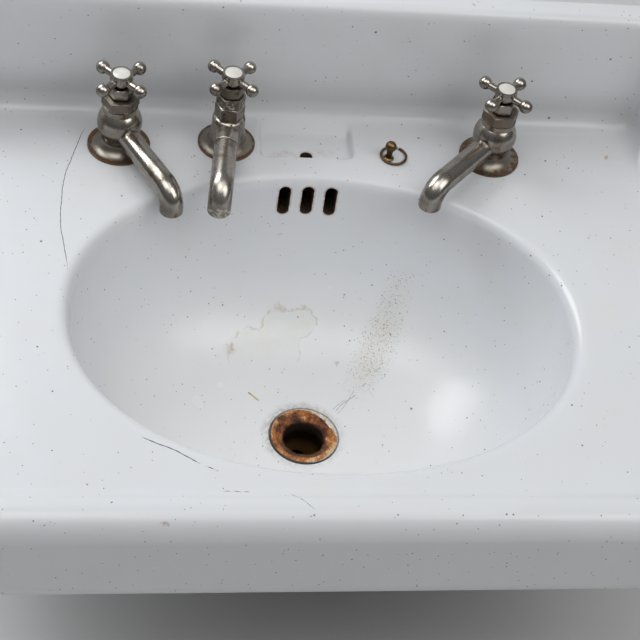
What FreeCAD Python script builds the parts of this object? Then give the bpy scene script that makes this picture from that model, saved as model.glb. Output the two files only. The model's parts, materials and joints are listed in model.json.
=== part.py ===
import FreeCAD, Part
import math
import os

from FreeCAD import Vector as V

# Enamelled cast iron wash basin: an oval bowl in a rolled rim slab with a raised back, three pillar
# taps, a chain stay with its ring, a waste fitting and a bolted overflow casing.
# Millimetres. X runs left to right, the front faces -Y, Z is up.
# The origin lies on the wall face of the raised back, at the height of the deck.

os.makedirs("parts", exist_ok=True)

X_AXIS = V(1, 0, 0)
Y_AXIS = V(0, 1, 0)
Z_AXIS = V(0, 0, 1)

# How far every cutter runs past the face that it cuts, and the gap between loose neighbours
overrun = 3.0
seat_gap = 0.3
thread_gap = 0.1

# Slab: plan, deck and hollow underside
slab_width = 660.0
slab_depth = 476.0
deck_thickness = 8.0
apron_depth = 78.0
apron_wall = 8.0
front_corner_radius = 85.0

# Rolled rim round the front and sides: it rises from the deck, crests and rolls over to the apron
rim_width = 40.0
rim_rise_run = 20.0
rim_height = 6.0
rim_roll_radius = 20.0
rim_inside_radius = 10.0

# Raised back and the two wings that sweep down from it to the rim
back_height = 120.0
back_thickness = 24.0
back_foot_radius = 18.0
back_top_radius = 10.0
wing_thickness = 22.0
wing_foot_radius = 18.0
wing_sweep_radius = 92.0
wing_round = 7.0
wing_sweep_points = 4

# Bowl: a full oval that draws in smoothly to the drain. The shape powers set how square it looks
bowl_half_width = 214.0
bowl_half_depth = 165.0
bowl_centre_y = -264.0
bowl_depth = 159.0
bowl_lip_radius = 10.0
bowl_plan_power = 2.1
bowl_side_power = 2.5
bowl_section_count = 9
bowl_oval_points = 24
bowl_wall = 8.0
bowl_flat_radius = 36.0

# Drain boss, with the counterbore that the waste flange sits in
drain_y = -266.0
drain_boss_radius = 44.0
drain_boss_drop = 18.0
drain_hole_radius = 24.0
drain_seat_radius = 31.0
drain_seat_depth = 4.0

# Overflow slots in the back wall of the bowl, and the flat pad behind them
slot_count = 3
slot_width = 10.5
slot_height = 31.0
slot_pitch = 20.5
slot_centre_z = -25.0
slot_round_share = 0.98
pad_half_width = 56.0
pad_face_y = -90.0
pad_bottom_z = -62.0

# Soap recess in the ledge, with its own drain hole, and the thick ledge under it
soap_half_width = 43.0
soap_front_y = -82.0
soap_back_y = -44.0
soap_sink = 6.5
soap_corner_radius = 8.0
soap_edge_radius = 2.0
soap_hole_radius = 5.5
soap_hole_y = -73.0
ledge_half_width = 50.0
ledge_front_y = -112.0
ledge_back_y = -38.0
ledge_thickness = 15.0

# Wall bolt holes in the back skirt
wall_hole_radius = 5.0
wall_hole_half_pitch = 215.0
wall_hole_z = -44.0
wall_boss_radius = 14.0
wall_boss_height = 6.0
back_skirt = 10.0

# Tap and chain stay holes through the deck, with their cast bosses
tap_hole_radius = 12.0
tap_boss_radius = 24.0
tap_boss_drop = 5.0
stay_hole_radius = 4.5
stay_boss_radius = 12.0
stay_boss_drop = 4.0

# Where the taps and the chain stay stand, and how far each spout is turned from straight forward
outer_tap_x = 164.5
outer_tap_y = -73.0
middle_tap_x = -71.0
middle_tap_y = -66.0
left_spout_turn = 28.0
middle_spout_turn = -7.0
right_spout_turn = -44.0
stay_x = 72.5
stay_y = -79.0

# Outer taps: a ball body on a dished flange
outer_flange_radius = 27.0
outer_flange_rise = 8.0
outer_ball_radius = 19.2
outer_ball_z = 27.0
outer_foot_radius = 13.0
outer_spout_axis_z = 20.5
outer_spout_reach = 91.5
outer_spout_root_radius = 9.5
outer_spout_radius = 9.9
outer_bonnet_hex = 32.0
outer_knob_radius = 5.8
outer_arm_radius = 3.4

# Middle tap: a round-shouldered barrel with a hexagonal neck, on a bell flange
middle_flange_radius = 25.0
middle_flange_rise = 8.5
middle_barrel_radius = 14.4
middle_shoulder_z = 32.5
middle_shoulder_round = 4.0
middle_flare_z = 19.0
middle_neck_hex = 26.0
middle_spout_axis_z = 21.0
middle_spout_reach = 87.0
middle_spout_radius = 10.0
middle_bonnet_hex = 25.0
middle_knob_radius = 5.6
middle_arm_radius = 3.4
spout_bead_distance = 28.0
spout_bead_radius = 1.1

# Shared inside all three taps: shank, bores, seat and spout
shank_radius = 10.2
shank_length = 46.0
shank_bore = 6.2
seat_bore = 5.0
seat_ring_radius = 7.8
seat_ring_rise = 2.0
seat_z = 19.0
chamber_floor_z = 17.0
chamber_radius = 9.2
collar_radius = 15.0
collar_z = 41.0
collar_height = 5.0
spout_bend_radius = 15.0
spout_outlet_z = 1.5
spout_bore = 6.6
flange_gasket_thickness = 1.5
flange_gasket_radius = 20.0
flange_edge_thickness = 1.6
flange_bore_clearance = 0.3

# Bonnet, gland and spindle
bonnet_spigot_length = 8.0
bonnet_hex_height = 10.0
bonnet_neck_radius = 7.8
bonnet_top_z = 62.0
bonnet_thread_radius = 6.5
gland_floor_z = 57.0
gland_radius = 6.6
packing_height = 4.5
gland_nut_hex = 22.0
gland_nut_low_z = 57.5
gland_nut_high_z = 67.0
spindle_radius = 4.4
spindle_low_z = 33.0
spindle_thread_high_z = 47.0
spindle_shoulder_z = 68.0
spindle_top_radius = 3.5
spindle_top_z = 72.4
running_gap = 0.06

# Jumper valve with its rubber washer: it lifts by one lead for each turn of the handle
washer_thickness = 3.0
washer_radius = 7.4
jumper_disc_radius = 7.8
jumper_disc_height = 2.4
jumper_stem_radius = 2.2
jumper_stem_length = 14.0

# Travel of the handle: turns from shut to open, and the spindle's lead for each turn
handle_turns = 1.5
spindle_lead = 3.0

# Cross handle, its screw and the plain china button
handle_bottom_z = 68.0
handle_top_z = 79.0
handle_hub_radius = 9.2
hub_foot_share = 0.8
hub_belly_share = 1.05
handle_arms = 4
handle_arm_z = 72.5
handle_reach = 21.5
handle_turn = 45.0
button_radius = 7.2
button_height = 3.0
button_crown = 1.2
screw_head_radius = 3.4
screw_head_height = 2.2
screw_radius = 1.5
screw_length = 9.0
screw_slot_half_width = 0.4

# Under the deck: backnut, supply tail and its union nut
backnut_hex = 34.0
backnut_height = 7.0
union_hex = 31.0
union_height = 22.0
union_engagement = 9.0
tail_radius = 6.35
tail_neck_radius = 7.0
tail_bore = 5.2
tail_flange_radius = 9.4
tail_flange_height = 2.0
tail_bottom_z = -150.0

# Chain stay: a ball-headed post with a loose ring trapped round its neck
stay_ball_radius = 5.0
stay_ball_z = 14.0
stay_neck_radius = 3.1
stay_waist_share = 0.85
stay_foot_radius = 4.6
stay_foot_height = 2.0
stay_shank_radius = 4.2
stay_shank_length = 26.0
stay_nut_hex = 15.0
stay_nut_height = 5.0
ring_radius = 11.2
ring_wire_radius = 1.2
ring_offset_x = 4.6
ring_offset_y = 2.2
ring_split_angle = 62.0
ring_split_gap = 1.4

# Waste: flange with a stepped seat for the plug, and the parts that clamp it under the bowl
waste_flange_radius = 30.0
waste_flange_thickness = 3.4
waste_step_radius = 25.0
waste_step_depth = 1.8
waste_seat_radius = 21.0
waste_bore = 18.4
waste_shank_radius = 22.6
waste_length = 76.0
waste_neck_radius = 20.5
waste_thread_length = 34.0
putty_thickness = 0.8
waste_washer_radius = 36.0
waste_washer_thickness = 4.0
waste_plate_thickness = 1.6
waste_nut_hex = 66.0
waste_nut_height = 10.0
waste_tail_radius = 15.9
waste_tail_neck_radius = 15.4
waste_tail_bore = 14.0
waste_tail_grip = 14.0
waste_tail_bottom_z = -310.0

# Overflow: a bolted casing behind the slots and a pipe down to the side of the waste
gasket_thickness = 2.0
casing_half_width = 36.0
casing_depth = 34.0
casing_bottom_z = -58.0
casing_wall = 4.0
casing_ear = 15.0
casing_ear_thickness = 6.0
casing_bolt_radius = 3.0
casing_bolt_hex = 11.0
casing_bolt_head = 4.0
casing_bolt_bite = 9.0
casing_bolt_high_z = -26.0
casing_bolt_low_z = -49.0
casing_drain_radius = 6.5
spigot_radius = 11.5
spigot_length = 10.0
pipe_radius = 8.0
pipe_bore = 6.8
pipe_bend_radius = 34.0
pipe_z = -212.0
socket_radius = 11.5
socket_reach = 34.0


def cylinder(radius, z0, z1, x=0.0, y=0.0):
    """An upright cylinder between two heights."""
    return Part.makeCylinder(radius, z1 - z0, V(x, y, z0), Z_AXIS)


def tube(outer, inner, z0, z1, x=0.0, y=0.0):
    """An upright pipe between two heights."""
    return cylinder(outer, z0, z1, x, y).cut(cylinder(inner, z0 - overrun, z1 + overrun, x, y))


def block(x0, x1, y0, y1, z0, z1):
    """A box between two corners."""
    return Part.makeBox(x1 - x0, y1 - y0, z1 - z0, V(x0, y0, z0))


def polygon_face(points):
    """A flat face with straight sides."""
    return Part.Face(Part.makePolygon(points + [points[0]]))


def turned(outline, x=0.0, y=0.0):
    """A solid turned about a vertical axis from (radius, height) points."""
    face = polygon_face([V(r, 0, z) for r, z in outline])
    solid = face.revolve(V(0, 0, 0), Z_AXIS, 360)
    solid.translate(V(x, y, 0))
    return solid


def hexagon(across_corners, z0, z1, x=0.0, y=0.0):
    """A six-sided prism with its corners trimmed to a cone above and below."""
    radius = across_corners / 2
    points = [V(radius * math.cos(math.radians(60 * k)), radius * math.sin(math.radians(60 * k)), z0)
              for k in range(6)]
    prism = polygon_face(points).extrude(V(0, 0, z1 - z0))
    flat = radius * math.cos(math.radians(30))
    trim = (radius - flat) * math.tan(math.radians(30))
    cone = turned([(0, z0), (flat, z0), (radius, z0 + trim), (radius, z1 - trim), (flat, z1), (0, z1)])
    solid = prism.common(cone)
    solid.translate(V(x, y, 0))
    return solid


def fused(shapes):
    """All shapes as one solid, with needless seams removed."""
    whole = shapes[0]
    for shape in shapes[1:]:
        whole = whole.fuse(shape)
    return whole.removeSplitter()


def fillet_at(shape, radius, chosen):
    """Rounds the edges that the test function picks."""
    return shape.makeFillet(radius, [edge for edge in shape.Edges if chosen(edge)])


def save(name, shape):
    """Checks one piece and writes it under its node's name."""
    if shape.ShapeType == "Compound" and len(shape.Solids) == 1:
        shape = shape.Solids[0]
    print(name, "valid", shape.isValid(), "solids", len(shape.Solids), "volume", round(shape.Volume, 1))
    shape.exportStep("parts/" + name + ".step")


# Basin casting

side_x = slab_width / 2
foot_x = side_x - rim_width
front_y = -slab_depth
foot_y = front_y + rim_width
rim_foot_corner = front_corner_radius - rim_width


def arc_through(points):
    """A circular edge through three points."""
    return Part.Arc(*points).toShape()


def rim_section(at):
    """The rim and apron in section. at(u, z) places a point u outwards from the rim's foot."""
    turn = 2 * math.atan(rim_height / rim_rise_run)
    bend = rim_rise_run / (2 * math.sin(turn))
    half = turn / 2

    def hollow_side(angle):
        return at(bend * math.sin(angle), bend * (1 - math.cos(angle)))

    def crown_side(angle):
        return at(rim_rise_run - bend * math.sin(angle), rim_height - bend * (1 - math.cos(angle)))

    crest = at(rim_rise_run, rim_height)
    roll_x = rim_rise_run + rim_roll_radius * math.sin(math.radians(45))
    roll_z = rim_height - rim_roll_radius * (1 - math.cos(math.radians(45)))
    outer = rim_rise_run + rim_roll_radius
    inner = outer - apron_wall
    under = -deck_thickness
    inside = rim_inside_radius
    mid = inside * (1 - math.cos(math.radians(45)))
    edges = [
        arc_through([at(0, 0), hollow_side(half), hollow_side(turn)]),
        arc_through([crown_side(turn), crown_side(half), crest]),
        arc_through([crest, at(roll_x, roll_z), at(outer, rim_height - rim_roll_radius)]),
        Part.makeLine(at(outer, rim_height - rim_roll_radius), at(outer, -apron_depth)),
        Part.makeLine(at(outer, -apron_depth), at(inner, -apron_depth)),
        Part.makeLine(at(inner, -apron_depth), at(inner, under - inside)),
        arc_through([at(inner, under - inside), at(inner - mid, under - mid), at(inner - inside, under)]),
        Part.makeLine(at(inner - inside, under), at(0, under)),
        Part.makeLine(at(0, under), at(0, 0)),
    ]
    return Part.Face(Part.Wire(edges))


def rim():
    """The rim and apron carried down one side, round both front corners and back up the other side."""
    side_face = rim_section(lambda u, z: V(foot_x + u, 0, z))
    corner_y = foot_y + rim_foot_corner
    side = side_face.extrude(V(0, corner_y, 0))
    corner_face = rim_section(lambda u, z: V(foot_x + u, corner_y, z))
    corner = corner_face.revolve(V(foot_x - rim_foot_corner, corner_y, 0), Z_AXIS, -90)
    front_face = rim_section(lambda u, z: V(rim_foot_corner - foot_x, foot_y - u, z))
    front = front_face.extrude(V(2 * (foot_x - rim_foot_corner), 0, 0))
    right = [side, corner]
    left = [piece.mirror(V(0, 0, 0), X_AXIS) for piece in right]
    return [front] + right + left


def deck():
    """The flat deck inside the foot of the rim, with the two front corners rounded."""
    corner_y = foot_y + rim_foot_corner
    centre_x = foot_x - rim_foot_corner
    reach = rim_foot_corner * math.cos(math.radians(45))
    under = -deck_thickness
    edges = [
        Part.makeLine(V(foot_x, 0, under), V(foot_x, corner_y, under)),
        arc_through([V(foot_x, corner_y, under), V(centre_x + reach, corner_y - reach, under),
                     V(centre_x, foot_y, under)]),
        Part.makeLine(V(centre_x, foot_y, under), V(-centre_x, foot_y, under)),
        arc_through([V(-centre_x, foot_y, under), V(-centre_x - reach, corner_y - reach, under),
                     V(-foot_x, corner_y, under)]),
        Part.makeLine(V(-foot_x, corner_y, under), V(-foot_x, 0, under)),
        Part.makeLine(V(-foot_x, 0, under), V(foot_x, 0, under)),
    ]
    return Part.Face(Part.Wire(edges)).extrude(V(0, 0, deck_thickness))


def upright_section(at, thickness, foot_radius, height, top_radius):
    """The raised back or a wing in section. at(u, z) places a point u inwards from the outer face."""
    foot = thickness + foot_radius
    near = foot_radius * math.sin(math.radians(45))
    far = top_radius * math.sin(math.radians(45))
    under = -deck_thickness
    edges = [
        Part.makeLine(at(0, under), at(foot, under)),
        Part.makeLine(at(foot, under), at(foot, 0)),
        arc_through([at(foot, 0), at(foot - near, foot_radius - near), at(thickness, foot_radius)]),
        Part.makeLine(at(thickness, foot_radius), at(thickness, height - top_radius)),
        arc_through([at(thickness, height - top_radius),
                     at(thickness - top_radius + far, height - top_radius + far),
                     at(thickness - top_radius, height)]),
        Part.makeLine(at(thickness - top_radius, height), at(0, height)),
        Part.makeLine(at(0, height), at(0, under)),
    ]
    return Part.Face(Part.Wire(edges))


def raised_back():
    """The upright back along the wall, with its skirt below the deck."""
    section = upright_section(lambda u, z: V(-side_x, -u, z), back_thickness, back_foot_radius,
                              back_height, back_top_radius)
    back = section.extrude(V(slab_width, 0, 0))
    skirt = block(-side_x, side_x, -back_skirt, 0, -apron_depth, 0)
    return [back, skirt]


def wing():
    """The right wing: an upright wall cut to a hollow curve that runs down into the rim."""
    section = upright_section(lambda u, z: V(side_x - u, 0, z), wing_thickness, wing_foot_radius,
                              back_height, wing_round)
    reach = back_thickness + wing_sweep_radius
    wall = section.extrude(V(0, -reach, 0))
    points = []
    for k in range(wing_sweep_points + 1):
        angle = k / wing_sweep_points * math.pi / 2
        points.append(V(0, -back_thickness - wing_sweep_radius * (1 - math.cos(angle)),
                        back_height * (1 - math.sin(angle))))
    curve = Part.BSplineCurve()
    curve.interpolate(points, False, 0, V(0, 0, -1), V(0, -1, 0))
    high = back_height + overrun
    edges = [
        curve.toShape(),
        Part.makeLine(points[-1], V(0, -reach, -apron_depth)),
        Part.makeLine(V(0, -reach, -apron_depth), V(0, overrun, -apron_depth)),
        Part.makeLine(V(0, overrun, -apron_depth), V(0, overrun, high)),
        Part.makeLine(V(0, overrun, high), V(0, -back_thickness, high)),
        Part.makeLine(V(0, -back_thickness, high), points[0]),
    ]
    keep = Part.Face(Part.Wire(edges)).extrude(V(slab_width, 0, 0))
    wall = wall.common(keep)
    return fillet_at(wall, wing_round, lambda e: e.BoundBox.XLength < seat_gap
                     and e.BoundBox.YLength > wing_sweep_radius / 2
                     and e.BoundBox.ZLength > wing_sweep_radius / 2)


def oval(half_width, half_depth, z, centre_y):
    """A closed smooth oval, a little fuller than an ellipse, from its formula."""
    points = []
    for k in range(bowl_oval_points):
        angle = 2 * math.pi * k / bowl_oval_points
        across, along = math.cos(angle), math.sin(angle)
        power = 2 / bowl_plan_power
        x = half_width * math.copysign(abs(across) ** power, across)
        y = half_depth * math.copysign(abs(along) ** power, along)
        points.append(V(x, centre_y + y, z))
    curve = Part.BSplineCurve()
    curve.interpolate(points, True)
    return Part.Wire(curve.toShape())


def bowl_form(grow):
    """The hollow of the bowl as a solid, or its outer body when it grows by the wall."""
    wide = bowl_half_width - bowl_lip_radius + grow
    deep = bowl_half_depth - bowl_lip_radius + grow
    floor = bowl_flat_radius + grow
    sections = []
    for k in range(bowl_section_count + 1):
        turn = k / bowl_section_count * math.pi / 2
        down = math.sin(turn)
        open_share = (1 - down ** bowl_side_power) ** (1 / bowl_side_power)
        centre_y = drain_y + (bowl_centre_y - drain_y) * open_share
        sections.append(oval(floor + (wide - floor) * open_share, floor + (deep - floor) * open_share,
                             -(bowl_depth + grow) * down, centre_y))
    return Part.makeLoft(sections, True, False)


def soap_recess():
    """The hollow of the soap recess: it runs up into the foot of the raised back."""
    low = -soap_sink
    tray = block(-soap_half_width, soap_half_width, soap_front_y, soap_back_y, low, overrun)
    tray = fillet_at(tray, soap_corner_radius, lambda e: e.BoundBox.ZLength > soap_sink)
    return fillet_at(tray, soap_edge_radius, lambda e: e.BoundBox.ZMax < low + soap_edge_radius / 2)


def slots():
    """The overflow slots, cut straight back through the bowl's wall to the face of the pad."""
    cutters = []
    half = slot_width / 2
    for k in range(slot_count):
        x = (k - (slot_count - 1) / 2) * slot_pitch
        slot = block(x - half, x + half, pad_front(), pad_face_y + overrun,
                     slot_centre_z - slot_height / 2, slot_centre_z + slot_height / 2)
        slot = fillet_at(slot, half * slot_round_share, lambda e: e.BoundBox.YLength > slot_width)
        cutters.append(slot)
    return cutters


def pad_front():
    """Where the slots' cutters start, inside the open bowl."""
    return bowl_centre_y + bowl_half_depth - bowl_lip_radius - slot_height


def tap_places():
    """The three tap holes."""
    return [(-outer_tap_x, outer_tap_y), (middle_tap_x, middle_tap_y), (outer_tap_x, outer_tap_y)]


def casing_bolts_at():
    """The four bolt places of the overflow casing, across and up."""
    x = casing_half_width + casing_ear / 2
    return [(side * x, z) for side in (-1, 1) for z in (casing_bolt_low_z, casing_bolt_high_z)]


def basin():
    """The whole enamelled casting."""
    wings = [wing()]
    wings.append(wings[0].mirror(V(0, 0, 0), X_AXIS))
    under = -deck_thickness
    solids = rim() + [deck()] + raised_back() + wings
    solids.append(bowl_form(bowl_wall))
    solids.append(cylinder(drain_boss_radius, -bowl_depth - drain_boss_drop, -bowl_depth + bowl_wall,
                           0, drain_y))
    solids.append(block(-pad_half_width, pad_half_width, pad_front(), pad_face_y, pad_bottom_z, under))
    solids.append(block(-ledge_half_width, ledge_half_width, ledge_front_y, ledge_back_y,
                        -ledge_thickness, under))
    for x, y in tap_places():
        solids.append(cylinder(tap_boss_radius, under - tap_boss_drop, under, x, y))
    solids.append(cylinder(stay_boss_radius, under - stay_boss_drop, under, stay_x, stay_y))
    boss_y = -wall_boss_height - back_skirt
    for side in (-1, 1):
        place = V(side * wall_hole_half_pitch, boss_y, wall_hole_z)
        solids.append(Part.makeCylinder(wall_boss_radius, wall_boss_height + back_skirt, place, Y_AXIS))
    whole = fused(solids)
    whole = whole.cut(bowl_form(0))
    whole = fillet_at(whole, bowl_lip_radius, on_bowl_edge)
    return whole.cut(Part.makeCompound(basin_holes()))


def on_bowl_edge(edge):
    """True for the one long edge where the bowl meets the deck's top."""
    box = edge.BoundBox
    level = box.ZMax < seat_gap and box.ZMin > -seat_gap
    return level and box.XMax < foot_x and box.YMin > foot_y and edge.Length > bowl_half_width


def basin_holes():
    """Everything drilled or cored through the casting after the bowl."""
    low = -bowl_depth - drain_boss_drop
    holes = slots() + [soap_recess()]
    holes.append(cylinder(drain_hole_radius, low - overrun, overrun - bowl_depth, 0, drain_y))
    holes.append(cylinder(drain_seat_radius, -bowl_depth - drain_seat_depth, overrun - bowl_depth,
                          0, drain_y))
    for x, y in tap_places():
        holes.append(cylinder(tap_hole_radius, -deck_thickness - tap_boss_drop - overrun, overrun, x, y))
    holes.append(cylinder(stay_hole_radius, -deck_thickness - stay_boss_drop - overrun, overrun,
                          stay_x, stay_y))
    holes.append(cylinder(soap_hole_radius, -ledge_thickness - overrun, overrun, 0, soap_hole_y))
    depth = wall_boss_height + back_skirt
    for side in (-1, 1):
        place = V(side * wall_hole_half_pitch, -depth - overrun, wall_hole_z)
        holes.append(Part.makeCylinder(wall_hole_radius, depth + 2 * overrun, place, Y_AXIS))
    for x, z in casing_bolts_at():
        holes.append(Part.makeCylinder(casing_bolt_radius + thread_gap, casing_bolt_bite + overrun,
                                       V(x, pad_face_y - casing_bolt_bite, z), Y_AXIS))
    return holes


# Taps

def turned_curves(start, *strokes):
    """A solid turned about Z. Each stroke is an end point, or the middle and end of an arc."""
    edges = []
    here = V(start[0], 0, start[1])
    for stroke in list(strokes) + [start]:
        if len(stroke) == 4:
            there = V(stroke[2], 0, stroke[3])
            edges.append(arc_through([here, V(stroke[0], 0, stroke[1]), there]))
        else:
            there = V(stroke[0], 0, stroke[1])
            edges.append(Part.makeLine(here, there))
        here = there
    return Part.Face(Part.Wire(edges)).revolve(V(0, 0, 0), Z_AXIS, 360)


def spout_path(centre_z, reach, root_radius, end_radius, root_y):
    """A round spout: a run forward, a quarter bend down and a short drop to the outlet."""
    bend = spout_bend_radius
    run = reach - bend
    if root_radius != end_radius:
        arm = Part.makeCone(root_radius, end_radius, run - root_y, V(0, -root_y, centre_z), -Y_AXIS)
    else:
        arm = Part.makeCylinder(end_radius, run - root_y, V(0, -root_y, centre_z), -Y_AXIS)
    ring = Part.Face(Part.Wire(Part.makeCircle(end_radius, V(0, -run, centre_z), Y_AXIS)))
    elbow = ring.revolve(V(0, -run, centre_z - bend), X_AXIS, 90)
    return [arm, elbow, cylinder(end_radius, spout_outlet_z, centre_z - bend, 0, -reach)]


class Tap:
    """One pillar tap's own sizes. The pattern is either outer or middle."""

    def __init__(self, name, pattern, x, y, spout_turn):
        self.name = name
        self.x = x
        self.y = y
        self.spout_turn = spout_turn
        self.outer = pattern == "outer"
        self.flange_radius = outer_flange_radius if self.outer else middle_flange_radius
        self.flange_rise = outer_flange_rise if self.outer else middle_flange_rise
        self.reach = outer_spout_reach if self.outer else middle_spout_reach
        self.root_radius = outer_spout_root_radius if self.outer else middle_spout_radius
        self.spout_radius = outer_spout_radius if self.outer else middle_spout_radius
        self.spout_z = outer_spout_axis_z if self.outer else middle_spout_axis_z
        self.bonnet_hex = outer_bonnet_hex if self.outer else middle_bonnet_hex
        self.knob_radius = outer_knob_radius if self.outer else middle_knob_radius
        self.arm_radius = outer_arm_radius if self.outer else middle_arm_radius

    def placed(self, shape, turn=0):
        """Stands a piece made about the Z axis where this tap is, turned about it."""
        shape.rotate(V(0, 0, 0), Z_AXIS, turn)
        shape.translate(V(self.x, self.y, 0))
        return shape


def tap_flange(tap):
    """The loose flange under the tap: a dished disc, or a bell for the middle tap."""
    low = flange_gasket_thickness
    edge = seat_gap
    wide = tap.flange_radius
    lip = edge + flange_edge_thickness
    bore = shank_radius + flange_bore_clearance
    top = low + tap.flange_rise
    gasket = flange_gasket_radius + seat_gap
    if tap.outer:
        crown = outer_foot_radius + flange_edge_thickness
    else:
        crown = middle_barrel_radius + flange_edge_thickness
    sag = (wide - crown) * (1 - math.cos(math.radians(45)))
    rise = (top - lip) * (1 - math.cos(math.radians(45)))
    return turned_curves((bore, low), (gasket, low), (gasket, edge), (wide, edge), (wide, lip),
                         (crown + sag, lip + rise, crown, top), (bore, top))


def tap_body(tap):
    """The tap's body: shank, ball or barrel, collar, spout, bores and the raised valve seat."""
    low = -shank_length
    foot_z = flange_gasket_thickness + tap.flange_rise
    top = collar_z + collar_height
    solids = [cylinder(shank_radius, low, foot_z + overrun)]
    if tap.outer:
        ball = Part.makeSphere(outer_ball_radius, V(0, 0, outer_ball_z))
        solids += [ball, cylinder(outer_foot_radius, foot_z, outer_ball_z),
                   cylinder(collar_radius, collar_z, top)]
    else:
        solids += barrel_pieces(foot_z, top)
        solids.append(Part.makeTorus(tap.spout_radius, spout_bead_radius,
                                     V(0, -spout_bead_distance, tap.spout_z), Y_AXIS))
    solids += spout_path(tap.spout_z, tap.reach, tap.root_radius, tap.spout_radius, 0)
    body = fused(solids)
    waterway = [cylinder(shank_bore, low - overrun, chamber_floor_z - seat_ring_rise),
                cylinder(seat_bore, low, seat_z + overrun),
                tube(chamber_radius, seat_ring_radius, chamber_floor_z, seat_z),
                cylinder(chamber_radius, seat_z, top + overrun)]
    bores = spout_path(tap.spout_z, tap.reach, spout_bore, spout_bore, seat_ring_radius)
    bores.append(cylinder(spout_bore, spout_outlet_z - overrun, spout_outlet_z, 0, -tap.reach))
    return body.cut(Part.makeCompound(waterway)).cut(Part.makeCompound(bores))


def barrel_pieces(foot_z, top):
    """The middle tap's barrel with its round shoulder, the flare at its foot and its hexagonal neck."""
    barrel = cylinder(middle_barrel_radius, foot_z, middle_shoulder_z)
    barrel = fillet_at(barrel, middle_shoulder_round, lambda e: e.BoundBox.ZMin > foot_z + overrun)
    crown = middle_barrel_radius + flange_edge_thickness
    flare = Part.makeCone(crown, middle_barrel_radius, middle_flare_z - foot_z, V(0, 0, foot_z))
    return [barrel, flare, hexagon(middle_neck_hex, middle_shoulder_z - overrun, top)]


def flange_gasket():
    """The soft ring between the flange and the deck."""
    return tube(flange_gasket_radius, shank_radius + flange_bore_clearance, 0, flange_gasket_thickness)


def bonnet(tap):
    """The bonnet that screws into the body: hexagon, neck, thread and gland chamber."""
    low = collar_z + collar_height
    neck_z = low + bonnet_hex_height
    solids = [cylinder(chamber_radius - thread_gap, low - bonnet_spigot_length, low),
              hexagon(tap.bonnet_hex, low, neck_z),
              cylinder(bonnet_neck_radius, neck_z, bonnet_top_z)]
    body = fused(solids)
    bores = [cylinder(bonnet_thread_radius + thread_gap, low - bonnet_spigot_length - overrun,
                      spindle_thread_high_z + valve_lift() + seat_gap),
             cylinder(spindle_radius + running_gap, low, bonnet_top_z + overrun),
             cylinder(gland_radius, gland_floor_z, bonnet_top_z + overrun)]
    return body.cut(Part.makeCompound(bores))


def valve_lift():
    """How far the valve rises at the end of the handle's travel."""
    return handle_turns * spindle_lead


def packing():
    """The gland packing: a soft ring round the spindle."""
    high = gland_floor_z + packing_height
    return tube(gland_radius - running_gap, spindle_radius + running_gap, gland_floor_z, high)


def gland_nut():
    """The nut that presses the packing down: a hexagon outside and a nose inside."""
    nut = hexagon(gland_nut_hex, gland_nut_low_z, gland_nut_high_z)
    hollow = tube(bonnet_neck_radius + thread_gap, gland_radius - thread_gap,
                  gland_nut_low_z - overrun, bonnet_top_z + seat_gap)
    core = cylinder(gland_radius, gland_nut_low_z - overrun, gland_floor_z + packing_height)
    bore = cylinder(spindle_radius + running_gap, gland_nut_low_z, gland_nut_high_z + overrun)
    return nut.cut(Part.makeCompound([hollow])).cut(core).cut(bore)


def spindle():
    """The spindle: thread below, plain stem, and a reduced top for the handle."""
    shoulder = spindle_shoulder_z - seat_gap
    top = spindle_top_z - seat_gap
    outline = [(0, spindle_low_z), (bonnet_thread_radius, spindle_low_z),
               (bonnet_thread_radius, spindle_thread_high_z), (spindle_radius, spindle_thread_high_z),
               (spindle_radius, shoulder), (spindle_top_radius, shoulder),
               (spindle_top_radius, top), (0, top)]
    stem = turned(outline)
    jumper_bore = cylinder(jumper_stem_radius + running_gap, spindle_low_z - overrun,
                           jumper_top_z() + seat_gap)
    screw_bore = cylinder(screw_radius + running_gap, spindle_top_z - screw_length, spindle_top_z)
    return stem.cut(jumper_bore).cut(screw_bore)


def jumper_low_z():
    """Underside of the jumper's disc, on top of its washer."""
    return seat_z + washer_thickness


def jumper_top_z():
    """Top of the jumper's stem, inside the spindle."""
    return jumper_low_z() + jumper_disc_height + jumper_stem_length


def jumper():
    """The jumper valve: a disc with a stem that sits in the spindle."""
    low = jumper_low_z()
    high = low + jumper_disc_height
    return turned([(0, low), (jumper_disc_radius, low), (jumper_disc_radius, high),
                   (jumper_stem_radius, high), (jumper_stem_radius, jumper_top_z()), (0, jumper_top_z())])


def tap_washer():
    """The rubber washer that closes on the seat."""
    return cylinder(washer_radius, seat_z, seat_z + washer_thickness)


def handle(tap):
    """The cross handle: a hub, four arms and four ball ends, with recesses for screw and button."""
    foot = handle_hub_radius * hub_foot_share
    belly = handle_hub_radius * hub_belly_share
    solids = [turned_curves((0, handle_bottom_z), (foot, handle_bottom_z),
                            (belly, (handle_bottom_z + handle_top_z) / 2,
                             handle_hub_radius, handle_top_z - button_crown),
                            (handle_hub_radius, handle_top_z), (0, handle_top_z))]
    for k in range(handle_arms):
        arm = Part.makeCylinder(tap.arm_radius, handle_reach, V(0, 0, handle_arm_z), X_AXIS)
        knob = Part.makeSphere(tap.knob_radius, V(handle_reach, 0, handle_arm_z))
        for piece in (arm, knob):
            piece.rotate(V(0, 0, 0), Z_AXIS, 360 * k / handle_arms)
            solids.append(piece)
    body = fused(solids)
    button_z = handle_top_z - button_height
    screw_z = button_z - screw_head_height - seat_gap
    bores = [cylinder(button_radius + thread_gap, button_z, handle_top_z + overrun),
             cylinder(screw_head_radius + seat_gap, screw_z, handle_top_z),
             cylinder(screw_radius + seat_gap, handle_bottom_z, handle_top_z),
             cylinder(spindle_top_radius + thread_gap, handle_bottom_z - overrun, spindle_top_z)]
    return body.cut(bores[0]).cut(bores[1]).cut(bores[2]).cut(bores[3])


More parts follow.
